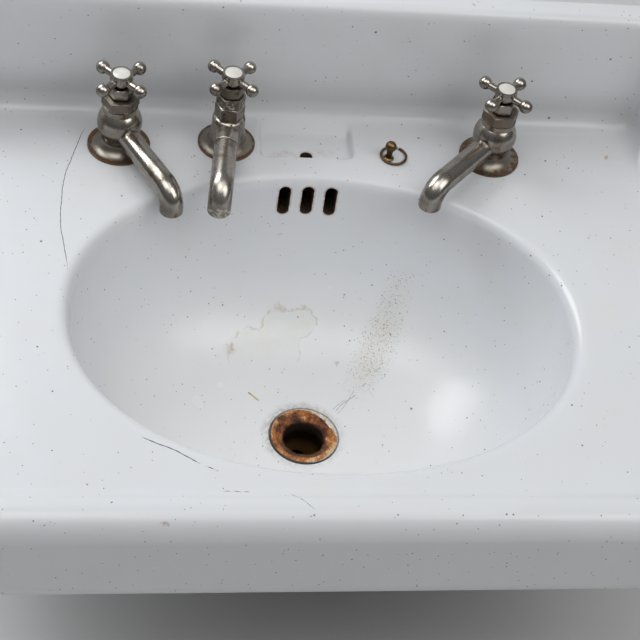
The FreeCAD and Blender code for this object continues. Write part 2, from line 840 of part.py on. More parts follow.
def handle_screw():
    """The cheese-head screw that holds the handle on the spindle."""
    head_z = handle_top_z - button_height - screw_head_height - seat_gap
    low = spindle_top_z - screw_length + seat_gap
    screw = fused([cylinder(screw_head_radius, head_z, head_z + screw_head_height),
                   cylinder(screw_radius, low, head_z)])
    slot = block(-screw_head_radius, screw_head_radius, -screw_slot_half_width, screw_slot_half_width,
                 head_z + screw_head_height / 2, head_z + screw_head_height + overrun)
    return screw.cut(slot)


def button():
    """The bare china button in the top of the handle, with the cap of a large ball as its crown."""
    low = handle_top_z - button_height
    crown_radius = (button_radius ** 2 + button_crown ** 2) / (2 * button_crown)
    centre_z = handle_top_z + button_crown - crown_radius
    disc = cylinder(button_radius, low, handle_top_z + button_crown + overrun)
    return disc.common(Part.makeSphere(crown_radius, V(0, 0, centre_z)))


def backnut():
    """The nut that clamps the shank to the boss under the deck."""
    high = -deck_thickness - tap_boss_drop
    nut = hexagon(backnut_hex, high - backnut_height, high)
    return nut.cut(cylinder(shank_radius + thread_gap, high - backnut_height - overrun, high + overrun))


def supply_tail():
    """The supply pipe's tail, flanged where the union nut holds it."""
    high = -shank_length
    low_flange = high - tail_flange_height
    step_z = union_low_z() - seat_gap
    return turned([(tail_bore, high), (tail_flange_radius, high), (tail_flange_radius, low_flange),
                   (tail_neck_radius, low_flange), (tail_neck_radius, step_z), (tail_radius, step_z),
                   (tail_radius, tail_bottom_z), (tail_bore, tail_bottom_z)])


def union_low_z():
    """The underside of the union nut."""
    return union_engagement - shank_length - union_height


def union_nut():
    """The union nut: it screws on the shank and draws the tail's flange up."""
    high = union_engagement - shank_length
    low = union_low_z()
    step = -shank_length - tail_flange_height
    nut = hexagon(union_hex, low, high)
    return nut.cut(cylinder(shank_radius + thread_gap, step, high + overrun)).cut(
        cylinder(tail_neck_radius + thread_gap, low - overrun, high))


def make_tap(tap):
    """Every piece of one tap, in its place."""
    pieces = [("body", tap_body(tap), tap.spout_turn), ("flange", tap_flange(tap), 0),
              ("gasket", flange_gasket(), 0), ("bonnet", bonnet(tap), 0), ("packing", packing(), 0),
              ("gland_nut", gland_nut(), 0), ("spindle", spindle(), 0), ("jumper", jumper(), 0),
              ("washer", tap_washer(), 0), ("handle", handle(tap), handle_turn),
              ("handle_screw", handle_screw(), 0), ("button", button(), 0),
              ("backnut", backnut(), 0), ("union_nut", union_nut(), 0), ("supply_tail", supply_tail(), 0)]
    for piece, shape, turn in pieces:
        save(tap.name + "_tap_" + piece, tap.placed(shape, turn))


# Chain stay

def stay_post():
    """The chain stay's post: foot, waisted neck, ball head and a threaded shank below the deck."""
    neck_top = stay_ball_z - math.sqrt(stay_ball_radius ** 2 - stay_neck_radius ** 2)
    waist = stay_neck_radius * stay_waist_share
    outline = turned_curves((0, -stay_shank_length), (stay_shank_radius, -stay_shank_length),
                            (stay_shank_radius, 0), (stay_foot_radius, 0),
                            (stay_foot_radius, stay_foot_height / 2),
                            (stay_neck_radius, stay_foot_height),
                            (waist, (stay_foot_height + neck_top) / 2, stay_neck_radius, neck_top),
                            (0, stay_ball_z))
    post = fused([outline, Part.makeSphere(stay_ball_radius, V(0, 0, stay_ball_z))])
    post.translate(V(stay_x, stay_y, 0))
    return post


def stay_ring():
    """The split ring that lies round the neck of the post on the deck."""
    wire = Part.makeTorus(ring_radius, ring_wire_radius)
    gap = block(0, ring_radius + 2 * ring_wire_radius, -ring_split_gap / 2, ring_split_gap / 2,
                -overrun, overrun)
    gap.rotate(V(0, 0, 0), Z_AXIS, ring_split_angle)
    ring = wire.cut(gap)
    ring.translate(V(stay_x + ring_offset_x, stay_y + ring_offset_y, ring_wire_radius + seat_gap))
    return ring


def stay_nut():
    """The nut under the deck that holds the chain stay."""
    high = -deck_thickness - stay_boss_drop
    nut = hexagon(stay_nut_hex, high - stay_nut_height, high, stay_x, stay_y)
    return nut.cut(cylinder(stay_shank_radius + thread_gap, high - stay_nut_height - overrun,
                            high + overrun, stay_x, stay_y))


# Waste

def seat_floor_z():
    """The floor of the counterbore that holds the waste flange."""
    return -bowl_depth - drain_seat_depth


def waste_body():
    """The waste: stepped flange, threaded shank, and the side socket for the overflow pipe."""
    flange_z = seat_floor_z() + putty_thickness
    top = flange_z + waste_flange_thickness
    low = flange_z - waste_length
    neck_z = flange_z - waste_thread_length
    outer = turned([(0, top), (waste_flange_radius - flange_edge_thickness / 2, top),
                    (waste_flange_radius, top - flange_edge_thickness / 2), (waste_flange_radius, flange_z),
                    (waste_shank_radius, flange_z), (waste_shank_radius, neck_z),
                    (waste_neck_radius, neck_z - waste_shank_radius + waste_neck_radius),
                    (waste_neck_radius, low), (0, low)])
    socket = Part.makeCylinder(socket_radius, socket_reach, V(0, 0, pipe_z), Y_AXIS)
    body = fused([outer, socket])
    step_z = top - waste_step_depth
    grip = waste_tail_neck_radius + running_gap
    seat = turned([(0, top + overrun), (waste_step_radius, top + overrun), (waste_step_radius, step_z),
                   (waste_seat_radius, step_z), (waste_bore, step_z - waste_seat_radius + waste_bore),
                   (waste_bore, low + waste_tail_grip), (grip, low + waste_tail_grip),
                   (grip, low - overrun), (0, low - overrun)])
    side = Part.makeCylinder(pipe_radius + thread_gap, socket_reach + overrun, V(0, 0, pipe_z), Y_AXIS)
    body = body.cut(seat).cut(side)
    body.translate(V(0, drain_y, 0))
    return body


def waste_low_z():
    """The bottom of the waste body."""
    return seat_floor_z() + putty_thickness - waste_length


def waste_pieces():
    """The putty, the clamping pieces under the boss and the tail below."""
    floor = seat_floor_z()
    boss = -bowl_depth - drain_boss_drop
    bore = waste_shank_radius + thread_gap
    putty = tube(waste_flange_radius, drain_hole_radius, floor, floor + putty_thickness, 0, drain_y)
    washer_z = boss - waste_washer_thickness
    washer = tube(waste_washer_radius, bore, washer_z, boss, 0, drain_y)
    plate_z = washer_z - waste_plate_thickness
    plate = tube(waste_washer_radius, bore, plate_z, washer_z, 0, drain_y)
    nut = hexagon(waste_nut_hex, plate_z - waste_nut_height, plate_z, 0, drain_y)
    nut = nut.cut(cylinder(bore, plate_z - waste_nut_height - overrun, plate_z + overrun, 0, drain_y))
    grip_z = waste_low_z() + waste_tail_grip
    step_z = waste_low_z() - seat_gap
    tail = turned([(waste_tail_bore, waste_tail_bottom_z), (waste_tail_radius, waste_tail_bottom_z),
                   (waste_tail_radius, step_z), (waste_tail_neck_radius, step_z),
                   (waste_tail_neck_radius, grip_z), (waste_tail_bore, grip_z)], 0, drain_y)
    return {"waste_putty": putty, "waste_washer": washer, "waste_friction_plate": plate,
            "waste_backnut": nut, "waste_tail": tail}


# Overflow

def casing_back_y():
    """The back face of the overflow casing."""
    return pad_face_y + gasket_thickness + casing_depth


def casing():
    """The overflow casing: a box open to the slots, with bolted ears and a spigot below."""
    front = pad_face_y + gasket_thickness
    back = casing_back_y()
    centre_y = pipe_y()
    outer = block(-casing_half_width, casing_half_width, front, back, casing_bottom_z,
                  -ledge_thickness - seat_gap)
    outer = fillet_at(outer, casing_wall, lambda e: e.BoundBox.YMin > back - casing_wall
                      or e.BoundBox.YLength > casing_depth / 2 and e.BoundBox.ZMax < casing_bottom_z / 2)
    ears = block(-casing_half_width - casing_ear, casing_half_width + casing_ear, front,
                 front + casing_ear_thickness, casing_bottom_z, -ledge_thickness - seat_gap)
    body = fused([outer, ears, cylinder(spigot_radius, casing_bottom_z - spigot_length,
                                        casing_bottom_z + casing_wall, 0, centre_y)])
    inner_half = casing_half_width - casing_wall
    chamber = block(-inner_half, inner_half, front - overrun, back - casing_wall,
                    casing_bottom_z + casing_wall, -ledge_thickness - seat_gap - casing_wall)
    holes = [chamber, cylinder(pipe_radius + thread_gap, casing_bottom_z - spigot_length - overrun,
                               casing_bottom_z + casing_wall + overrun, 0, centre_y),
             cylinder(casing_drain_radius, -ledge_thickness - casing_wall - overrun,
                      overrun - ledge_thickness, 0, soap_hole_y)]
    for x, z in casing_bolts_at():
        holes.append(Part.makeCylinder(casing_bolt_radius + thread_gap, casing_ear_thickness + 2 * overrun,
                                       V(x, front - overrun, z), Y_AXIS))
    return body.cut(Part.makeCompound(holes))


def casing_gasket():
    """The flat gasket between the pad and the casing, open where the slots come through."""
    front = pad_face_y
    wide = casing_half_width + casing_ear
    sheet = block(-wide, wide, front, front + gasket_thickness, casing_bottom_z,
                  -ledge_thickness - seat_gap)
    inner_half = casing_half_width - casing_wall
    holes = [block(-inner_half, inner_half, front - overrun, front + gasket_thickness + overrun,
                   casing_bottom_z + casing_wall, -ledge_thickness - seat_gap - casing_wall)]
    for x, z in casing_bolts_at():
        holes.append(Part.makeCylinder(casing_bolt_radius + thread_gap, gasket_thickness + 2 * overrun,
                                       V(x, front - overrun, z), Y_AXIS))
    return sheet.cut(Part.makeCompound(holes))


def casing_bolts():
    """The four hexagon bolts of the overflow casing."""
    seat = pad_face_y + gasket_thickness + casing_ear_thickness
    bolts = []
    for x, z in casing_bolts_at():
        head = hexagon(casing_bolt_hex, 0, casing_bolt_head)
        reach = gasket_thickness + casing_ear_thickness + casing_bolt_bite - seat_gap
        bolt = fused([head, cylinder(casing_bolt_radius, -reach, 0)])
        bolt.rotate(V(0, 0, 0), X_AXIS, -90)
        bolt.translate(V(x, seat, z))
        bolts.append(bolt)
    return Part.makeCompound(bolts)


def pipe_y():
    """The overflow pipe's line down, in the middle of the casing."""
    return pad_face_y + gasket_thickness + casing_depth / 2


def overflow_pipe():
    """The pipe from the casing down and forward to the socket on the waste."""
    centre_y = pipe_y()
    bend = pipe_bend_radius
    top = casing_bottom_z + casing_wall
    end_y = drain_y + waste_neck_radius
    limbs = []
    for radius, extra in ((pipe_radius, 0), (pipe_bore, overrun)):
        ring = Part.Face(Part.Wire(Part.makeCircle(radius, V(0, centre_y, pipe_z + bend), Z_AXIS)))
        elbow = ring.revolve(V(0, centre_y - bend, pipe_z + bend), X_AXIS, -90)
        drop = cylinder(radius, pipe_z + bend, top + extra, 0, centre_y)
        start = V(0, centre_y - bend, pipe_z)
        run = Part.makeCylinder(radius, centre_y - bend - end_y + extra, start, -Y_AXIS)
        limbs.append([drop, elbow, run])
    pipe = fused(limbs[0])
    for limb in limbs[1]:
        pipe = pipe.cut(limb)
    return pipe


save("basin", basin())
make_tap(Tap("left", "outer", -outer_tap_x, outer_tap_y, left_spout_turn))
make_tap(Tap("middle", "middle", middle_tap_x, middle_tap_y, middle_spout_turn))
make_tap(Tap("right", "outer", outer_tap_x, outer_tap_y, right_spout_turn))
save("chain_stay_post", stay_post())
save("chain_stay_ring", stay_ring())
save("chain_stay_nut", stay_nut())
save("waste_body", waste_body())
for piece_name, piece_shape in waste_pieces().items():
    save(piece_name, piece_shape)
save("overflow_casing", casing())
save("overflow_gasket", casing_gasket())
save("overflow_bolts", casing_bolts())
save("overflow_pipe", overflow_pipe())
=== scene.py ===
"""An enamelled cast iron wash basin with three worn pillar taps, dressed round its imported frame."""

import json
import logging
import math
from dataclasses import dataclass
from enum import Enum
from functools import reduce
from typing import Sequence

import bmesh
import bpy
import numpy as np
from mathutils import Matrix, Vector

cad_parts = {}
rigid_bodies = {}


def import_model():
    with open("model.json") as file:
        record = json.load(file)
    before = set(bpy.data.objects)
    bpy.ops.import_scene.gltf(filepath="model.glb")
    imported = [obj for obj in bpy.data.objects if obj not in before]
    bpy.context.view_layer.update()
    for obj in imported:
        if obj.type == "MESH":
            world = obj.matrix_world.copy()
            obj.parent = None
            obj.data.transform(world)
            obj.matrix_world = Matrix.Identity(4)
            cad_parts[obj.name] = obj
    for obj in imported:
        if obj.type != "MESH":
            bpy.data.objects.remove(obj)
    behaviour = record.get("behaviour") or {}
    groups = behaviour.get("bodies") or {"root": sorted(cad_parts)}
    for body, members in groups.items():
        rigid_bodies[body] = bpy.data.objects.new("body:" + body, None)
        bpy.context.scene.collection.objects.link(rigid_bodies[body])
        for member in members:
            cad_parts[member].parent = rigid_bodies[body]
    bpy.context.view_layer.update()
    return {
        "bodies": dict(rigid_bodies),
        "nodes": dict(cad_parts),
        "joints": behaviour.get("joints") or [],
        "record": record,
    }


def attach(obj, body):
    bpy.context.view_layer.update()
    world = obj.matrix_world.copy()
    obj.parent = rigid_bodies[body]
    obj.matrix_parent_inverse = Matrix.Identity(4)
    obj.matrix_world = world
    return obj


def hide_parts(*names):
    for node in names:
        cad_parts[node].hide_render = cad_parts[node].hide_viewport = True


LOG = logging.getLogger("basin")
MM = 0.001
# Where the drain's axis stands, in millimetres
DRAIN_Y = -266.0
# An axis stretched this much counts for nothing in a distance
IGNORED = 1000.0
Array = np.ndarray
Pair = tuple[float, float]
Triple = tuple[float, float, float]
Material = bpy.types.Material
Object = bpy.types.Object
Socket = bpy.types.NodeSocket
Input = float | Socket
Tint = Triple | Socket


# Shapes worked out on grids

def smooth_step(low: float, high: float, value: Array) -> Array:
    """Eases from 0 at low to 1 at high: three t squared less two t cubed."""
    share = np.clip((value - low) / (high - low), 0.0, 1.0)
    return share * share * (3.0 - 2.0 * share)


def signed_power(value: Array, power: float) -> Array:
    """A power of the value's size, with the value's sign."""
    return np.sign(value) * np.abs(value) ** power


def arc(centre: Pair, radius: float, start: float, end: float, count: int) -> Array:
    """Points on a circle from one angle in degrees to another, both ends included."""
    turn = np.radians(np.linspace(start, end, count))
    return np.stack([centre[0] + radius * np.cos(turn), centre[1] + radius * np.sin(turn)], 1)


def line(start: Pair, end: Pair, count: int) -> Array:
    """Evenly spaced points on a straight line, both ends included."""
    share = np.linspace(0.0, 1.0, count)[:, None]
    return np.array(start) * (1 - share) + np.array(end) * share


def joined(width: float, *stretches: Array) -> Array:
    """Stretches of a section end to end, as (share of the width, height)."""
    points = np.concatenate([stretches[0], *(stretch[1:] for stretch in stretches[1:])])
    return points / np.array([width, 1.0])


def stadium(half_width: float, half_height: float, count: int = 48) -> Array:
    """Outline of a slot with round ends: two half circles joined by straight sides."""
    turn = np.linspace(0, 2 * np.pi, count, endpoint=False) + np.pi / count
    points = half_width * np.stack([np.cos(turn), np.sin(turn)], 1)
    points[:, 1] += np.sign(points[:, 1]) * (half_height - half_width)
    return points


def linked(name: str, mesh: bpy.types.Mesh) -> Object:
    """Puts a mesh into the scene as an object at the origin."""
    piece = bpy.data.objects.new(name, mesh)
    bpy.context.scene.collection.objects.link(piece)
    return piece


def settle(piece: Object) -> None:
    """Replaces a piece's mesh by what its modifiers make of it, and drops them."""
    graph = bpy.context.evaluated_depsgraph_get()
    mesh = bpy.data.meshes.new_from_object(piece.evaluated_get(graph))
    piece.modifiers.clear()
    piece.data = mesh


def grid_object(name: str, points: Array, wrap_rows: bool = False, wrap_columns: bool = True) -> Object:
    """Makes a mesh object from a grid of points in millimetres: each cell of the grid is one face.

    Args:
        name: The piece's name.
        points: Rows by columns by 3.
        wrap_rows: Whether the last row joins the first.
        wrap_columns: Whether the last column joins the first.

    Returns:
        The linked object, smooth shaded.
    """
    rows, columns = points.shape[:2]
    index = np.arange(rows * columns).reshape(rows, columns)
    if wrap_rows:
        index = np.vstack([index, index[:1]])
    if wrap_columns:
        index = np.hstack([index, index[:, :1]])
    quads = np.stack([index[:-1, :-1], index[:-1, 1:], index[1:, 1:], index[1:, :-1]], -1)
    mesh = bpy.data.meshes.new(name)
    mesh.from_pydata((points.reshape(-1, 3) * MM).tolist(), [], quads.reshape(-1, 4).tolist())
    mesh.update()
    mesh.shade_smooth()
    return linked(name, mesh)


def turned(name: str, profile: Array, centre: Triple, around: str, columns: int = 48) -> Object:
    """A closed ring: a closed profile of (radius, height) carried round an axis, Z or Y."""
    turn = np.linspace(0, 2 * np.pi, columns, endpoint=False)
    radius, height = profile[:, :1], profile[:, 1:]
    a, b = radius * np.cos(turn), radius * np.sin(turn)
    c = np.broadcast_to(height, a.shape)
    points = np.stack([a, b, c] if around == "Z" else [b, c, a], -1) + np.array(centre)
    return grid_object(name, points, wrap_rows=True)


def prisms(name: str, lows: Array, highs: Array) -> Object:
    """Closed prisms in one mesh: each runs from its low outline to its high one.

    Args:
        name: The object's name.
        lows: Prisms by points by 3, in millimetres.
        highs: The same, for the other end.

    Returns:
        The linked object.
    """
    number, count = lows.shape[:2]
    points = np.stack([lows, highs], 1).reshape(-1, 3) * MM
    start = np.arange(number)[:, None] * 2 * count
    ring = np.arange(count)
    after = np.roll(ring, -1)
    sides = np.stack([start + ring, start + after, start + count + after, start + count + ring], -1)
    faces = sides.reshape(-1, 4).tolist()
    faces += (start + ring[::-1]).tolist() + (start + count + ring).tolist()
    mesh = bpy.data.meshes.new(name)
    mesh.from_pydata(points.tolist(), [], faces)
    whole = bmesh.new()
    whole.from_mesh(mesh)
    bmesh.ops.recalc_face_normals(whole, faces=whole.faces)
    whole.to_mesh(mesh)
    whole.free()
    return linked(name, mesh)


# The basin

@dataclass
class Basin:
    """The enamelled casting, as one closed surface that runs round it like a skin.

    The skin is a grid. Its columns run round the bowl, and its rows run from the drain hole up the
    bowl, over its lip, across the deck, over the rim or up the raised back, down the outside and back
    underneath to the drain hole. Sizes are in millimetres.
    """

    half_width: float = 330.0
    depth: float = 476.0
    rim_width: float = 40.0
    rim_height: float = 6.0
    rim_roll: float = 20.0
    front_corner: float = 45.0
    back_corner: float = 22.0
    back_height: float = 120.0
    back_width: float = 42.0
    foot: float = 18.0
    sweep: float = 92.0
    back_thickness: float = 24.0
    wing_full: float = 30.0
    wall_blend: Pair = (-1.5, -0.1)
    apron_low: float = -78.0
    wall: float = 8.0
    bowl_a: float = 204.0
    bowl_b: float = 155.0
    bowl_y: float = -264.0
    bowl_deep: float = 159.0
    lip: float = 10.0
    plan_power: float = 2.1
    side_power: float = 2.5
    flat: float = 36.0
    drain_y: float = DRAIN_Y
    drain_hole: float = 24.0
    drain_seat: float = 31.0
    drain_drop: float = 18.0
    seat_drop: float = 4.0
    fine: float = 1.25
    coarse: float = 6.4
    fine_reach: float = 60.0
    bowl_rows: int = 50
    lip_rows: int = 8
    deck_rows: int = 34
    under_deck_rows: int = 8
    under_bowl_rows: int = 20
    slot_half: Pair = (5.25, 15.5)
    slot_pitch: float = 20.5
    slot_z: float = -25.0
    slot_cut: Pair = (-135.0, -86.0)
    pad_half: float = 56.0
    pad_y: float = -90.0
    pad_low: float = -62.0
    pad_reach: float = -160.0
    ledge_half: float = 50.0
    ledge_drop: float = 7.0
    ledge_span: Pair = (-112.0, -41.0)
    recess_half: float = 43.0
    recess_front: float = -82.0
    recess_sink: float = 6.5
    recess_corner: float = 8.0
    recess_ease: float = 5.0
    recess_reach: float = -104.0
    recess_heights: Pair = (-2.0, 60.0)
    recess_fade: Pair = (-52.0, -34.0)
    soap_hole: Pair = (-73.0, 5.5)
    taps: tuple[Pair, ...] = ((-164.5, -73.0), (-71.0, -66.0), (164.5, -73.0))
    deck_cut: Pair = (-20.0, 4.0)
    tap_hole: float = 12.0
    tap_boss: Pair = (24.0, 5.0)
    stay: Pair = (72.5, -79.0)
    stay_hole: float = 4.5
    stay_boss: Pair = (12.0, 4.0)
    bolt_x: float = 215.0
    bolt_z: float = -44.0
    bolt_hole: float = 5.0
    bolt_cut: Pair = (-14.0, 3.0)
    bolt_boss: Pair = (14.0, 6.0)
    bolt_skirt: float = -8.4
    boss_round: float = 2.0
    sharp: float = 38.0
    boss_sharp: float = 50.0

    def __post_init__(self) -> None:
        """Works out where the foot line of the rim and the back runs."""
        self.foot_x = self.half_width - self.rim_width
        self.foot_y = -self.depth + self.rim_width
        self.back_y = -self.back_width

    def foot_path(self) -> tuple[Array, Array]:
        """The foot line of the rim and back, anticlockwise from the right, and its outer partner.

        The inner line is a rectangle with rounded corners. Each of its points has a partner on the
        outer edge: straight out on the straight stretches, along the radius on the front corners, and
        out to the square corner at the back.

        Returns:
            Two arrays of points, inner and outer.
        """
        x, front, back = self.foot_x, self.foot_y, self.back_y
        r, s, w = self.front_corner, self.back_corner, self.rim_width
        sides = (((x, front + r), (x, back - s), (w, 0.0)),
                 ((x - s, back), (s - x, back), (0.0, self.back_width)),
                 ((-x, back - s), (-x, front + r), (-w, 0.0)),
                 ((r - x, front), (x - r, front), (0.0, -w)))
        corners = ((x - s, back - s, s), (s - x, back - s, s), (r - x, front + r, r), (x - r, front + r, r))
        inner: list[Array] = []
        outer: list[Array] = []
        for quarter, ((start, end, away), (cx, cy, radius)) in enumerate(zip(sides, corners)):
            if start[1] == end[1] == back:
                spots = self.spaced(start[0], end[0])
                run = np.stack([spots, np.full(len(spots), back)], 1)[:-1]
            else:
                run = line(start, end, max(2, round(math.dist(start, end) / self.coarse)) + 1)[:-1]
            reach = self.half_width - abs(cx)
            count = max(6, round(math.radians(90) * (radius + reach) / 2 / self.coarse * 1.3))
            turn = np.radians(np.linspace(90 * quarter, 90 * quarter + 90, count + 1)[:-1])
            way = np.stack([np.cos(turn), np.sin(turn)], 1)
            square = 1 / np.maximum(np.abs(way[:, :1]) / reach, np.abs(way[:, 1:]) / -cy)
            inner += [run, way * radius + (cx, cy)]
            outer += [run + away, way * (square if radius == s else radius + w) + (cx, cy)]
        return np.concatenate(inner), np.concatenate(outer)

    def spaced(self, start: float, end: float) -> Array:
        """Places along the back that crowd together behind the soap recess and the slots."""
        reach = self.fine_reach * math.copysign(1.0, end - start)
        side = max(2, round((abs(start) - self.fine_reach) / self.coarse))
        middle = round(2 * self.fine_reach / self.fine)
        return np.concatenate([np.linspace(start, -reach, side + 1)[:-1],
                               np.linspace(-reach, reach, middle + 1)[:-1],
                               np.linspace(reach, end, side + 1)])

    def top_height(self, y: Array) -> Array:
        """Height of the wing's top at a distance from the wall: a quarter circle stretched upwards."""
        share = np.clip((-self.back_thickness - y) / self.sweep, 0.0, 1.0)
        return self.back_height * (1 - np.sqrt(np.clip(1 - (1 - share) ** 2, 0.0, 1.0)))

    def rim_profile(self) -> Array:
        """The rolled rim in section: hollow foot, crest, round edge and apron, as (share, height)."""
        w, roll, rise = self.rim_width, self.rim_roll, self.rim_height
        run = w - roll
        turn = math.degrees(2 * math.atan(rise / run))
        bend = run / (2 * math.sin(math.radians(turn)))
        foot = arc((0.0, bend), bend, -90.0, -90.0 + turn, 10)
        crest = arc((run, rise - bend), bend, 90.0 + turn, 90.0, 11)
        roll_over = arc((run, rise - roll), roll, 90.0, 0.0, 17)
        outside = line((w, rise - roll), (w, self.apron_low + 2), 9)
        return joined(w, foot, crest, roll_over, outside)

    def wall_profile(self, height: float, width: float, inner_round: float, outer_round: float) -> Array:
        """The raised back or a wing in section, with as many points as the rim's section."""
        f = self.foot
        top_in = f + inner_round
        top_out = width - outer_round
        foot = arc((0.0, f), f, -90.0, 0.0, 10)
        face = line((f, f), (f, height - inner_round), 11)
        over_in = arc((top_in, height - inner_round), inner_round, 180.0, 90.0, 7)
        flat = line((top_in, height), (top_out, height), 5)
        over_out = arc((top_out, height - outer_round), outer_round, 90.0, 0.0, 7)
        outside = line((width, height - outer_round), (width, self.apron_low + 2), 9)
        return joined(width, foot, face, over_in, flat, over_out, outside)

    def section(self, height: float, behind: float, width: float) -> Array:
        """The rim's section grown into the wing's or the back's.

        Args:
            height: Height of the top here.
            behind: 0 beside the basin, 1 along the wall.
            width: Distance from the foot line to the outer edge.

        Returns:
            Points as (share of the width, height).
        """
        full = self.wing_full
        grown = self.wall_profile(max(height, full), width, 7.0 + 3.0 * behind, 7.0 - 5.5 * behind)
        share = np.clip((height - self.rim_height) / (full - self.rim_height), 0.0, 1.0)
        return self.rim_profile() * (1 - share) + grown * share

    def bowl_section(self, turn: Array, side: Array, grow: float) -> Array:
        """Points of the bowl: ovals whose size falls with depth along a rounded quarter.

        Args:
            turn: Angles of depth, 0 at the top and a right angle at the floor.
            side: Angles round the oval.
            grow: Thickness added, for the outside of the bowl.

        Returns:
            Rows by columns by 3.
        """
        down = np.sin(turn)[:, None]
        share = np.clip(1 - down ** self.side_power, 0, 1) ** (1 / self.side_power)
        floor = self.flat + grow
        wide = floor + (self.bowl_a + grow - floor) * share
        deep = floor + (self.bowl_b + grow - floor) * share
        centre = self.drain_y + (self.bowl_y - self.drain_y) * share
        across, along = self.oval(side)
        x = wide * across[None]
        y = centre + deep * along[None]
        z = -(self.bowl_deep + grow) * np.broadcast_to(down, x.shape)
        return np.stack([x, y, z], -1)

    def oval(self, side: Array) -> tuple[Array, Array]:
        """Unit oval, a little fuller than an ellipse: cosine and sine raised to a power."""
        power = 2 / self.plan_power
        return signed_power(np.cos(side), power), signed_power(np.sin(side), power)

    def oval_angles(self, inner: Array) -> Array:
        """The oval's angle that faces each point of the foot line."""
        power = self.plan_power / 2
        across = signed_power(inner[:, 0] / self.bowl_a, power)
        return np.arctan2(signed_power((inner[:, 1] - self.bowl_y) / self.bowl_b, power), across)

    def skin(self) -> tuple[Array, int]:
        """All rows of the skin, from the drain hole outwards, over and back underneath.

        Returns:
            The grid of points, and the row where the underside starts.
        """
        inner, outer = self.foot_path()
        side = self.oval_angles(inner)
        ring = np.stack([np.cos(side), np.sin(side)], -1)
        rows: list[Array] = []

        def level(plan: Array, z: float) -> None:
            """Adds a row at one height."""
            rows.append(np.concatenate([plan, np.full((len(side), 1), z)], 1))

        def circles(*rings: Pair) -> None:
            """Adds rings round the drain, given by radius and height."""
            for radius, z in rings:
                level(ring * radius + [0.0, self.drain_y], z)

        hole, rebate = self.drain_hole, self.drain_seat
        floor = -self.bowl_deep
        low, seat = floor - self.drain_drop, floor - self.seat_drop
        circles((hole, low), (hole, (low + seat) / 2), (hole, seat + 0.4), (hole + 0.4, seat),
                (rebate - 0.3, seat), (rebate, seat + 0.4), (rebate, floor - 0.9),
                (rebate + 0.25, floor - 0.25), (rebate + 0.9, floor))
        turns = np.radians(90) * (1 - np.linspace(0, 1, self.bowl_rows)[1:] ** 1.15)
        turns = turns[turns > np.arcsin(self.lip / self.bowl_deep)]
        rows.extend(self.bowl_section(turns, side, 0.0))
        across, along = self.oval(side)
        wall_line = np.stack([self.bowl_a * across, self.bowl_y + self.bowl_b * along], 1)
        way = np.roll(wall_line, -1, 0) - np.roll(wall_line, 1, 0)
        out = np.stack([way[:, 1], -way[:, 0]], 1)
        out /= np.linalg.norm(out, axis=1)[:, None]
        for angle in np.radians(np.linspace(8, 90, self.lip_rows)):
            level(wall_line + out * self.lip * (1 - math.cos(angle)), -self.lip * (1 - math.sin(angle)))
        edge = wall_line + out * self.lip
        for share in np.linspace(0, 1, self.deck_rows)[1:-1]:
            level(edge * (1 - share) + inner * share, 0.0)
        behind = smooth_step(*self.wall_blend, outer[:, 1])
        width = np.where(behind > 0.5, self.back_width, self.rim_width)
        sizes = zip(self.top_height(outer[:, 1]), behind, width)
        profile = np.stack([self.section(*size) for size in sizes], 1)
        across_out = outer - inner
        rows.extend(np.concatenate([inner + across_out * profile[..., :1], profile[..., 1:]], -1))
        top_end = len(rows)
        unit = across_out / np.linalg.norm(across_out, axis=1)[:, None]
        base = self.apron_low
        inside = inner + across_out * 0.8
        under_foot = inner + across_out * 0.5
        for plan, z in ((outer - unit * 0.8, base + 0.5), (outer - unit * 2.2, base),
                        (inside + unit * 1.2, base), (inside, base + 1.2), (inside, -40.0), (inside, -20.0),
                        (inside * 0.85 + under_foot * 0.15, -12.0), (inside * 0.5 + under_foot * 0.5, -9.0),
                        (under_foot, -self.wall), (inner, -self.wall)):
            level(plan, z)
        clear = self.wall + 6.0
        bowl_edge = wall_line + out * clear
        for share in np.linspace(0, 1, self.under_deck_rows)[1:]:
            level(inner * (1 - share) + bowl_edge * share, -self.wall)
        deep = self.bowl_deep + self.wall
        step = np.arcsin((np.array([-0.6, 0.3, 1.2]) - self.pad_low) / deep)
        turns = np.linspace(math.asin(clear / deep), math.radians(90), self.under_bowl_rows)
        rows.extend(self.bowl_section(np.sort(np.concatenate([turns, step])), side, self.wall))
        boss = self.flat + self.wall
        circles((boss, low + 2.0), (boss - 2.0, low), (hole + 1.0, low))
        return np.stack(rows), top_end

    def press_soap_recess(self, top: Array) -> None:
        """Lowers the ledge inside a soft-edged rectangle, by a step eased on the distance to it."""
        x, y, z = top[..., 0], top[..., 1], top[..., 2]
        corner = self.recess_corner
        qx = np.abs(x) - self.recess_half + corner
        qy = self.recess_front - y + corner
        away = np.hypot(np.maximum(qx, 0), np.maximum(qy, 0)) + np.minimum(np.maximum(qx, qy), 0) - corner
        low, high = self.recess_heights
        ledge = (z > low) & (z < high) & (y > self.recess_reach)
        depth = self.recess_sink * smooth_step(0.0, self.recess_ease, -away) * ledge
        z -= depth * (1 - smooth_step(*self.recess_fade, y))

    def thicken_back(self, under: Array) -> None:
        """Squares off the outside behind the slots, and thickens the deck under the soap recess."""
        x, y, z = under[..., 0], under[..., 1], under[..., 2]
        front, back = self.ledge_span
        deck = (np.abs(z + self.wall) < 0.01) & (y < back) & (y > front)
        z -= deck * self.ledge_drop * (np.abs(x) < self.ledge_half)
        behind = (y < self.pad_y) & (y > self.pad_reach) & (np.abs(x) < self.pad_half)
        y[behind & (z < -self.wall + 0.1) & (z > self.pad_low)] = self.pad_y

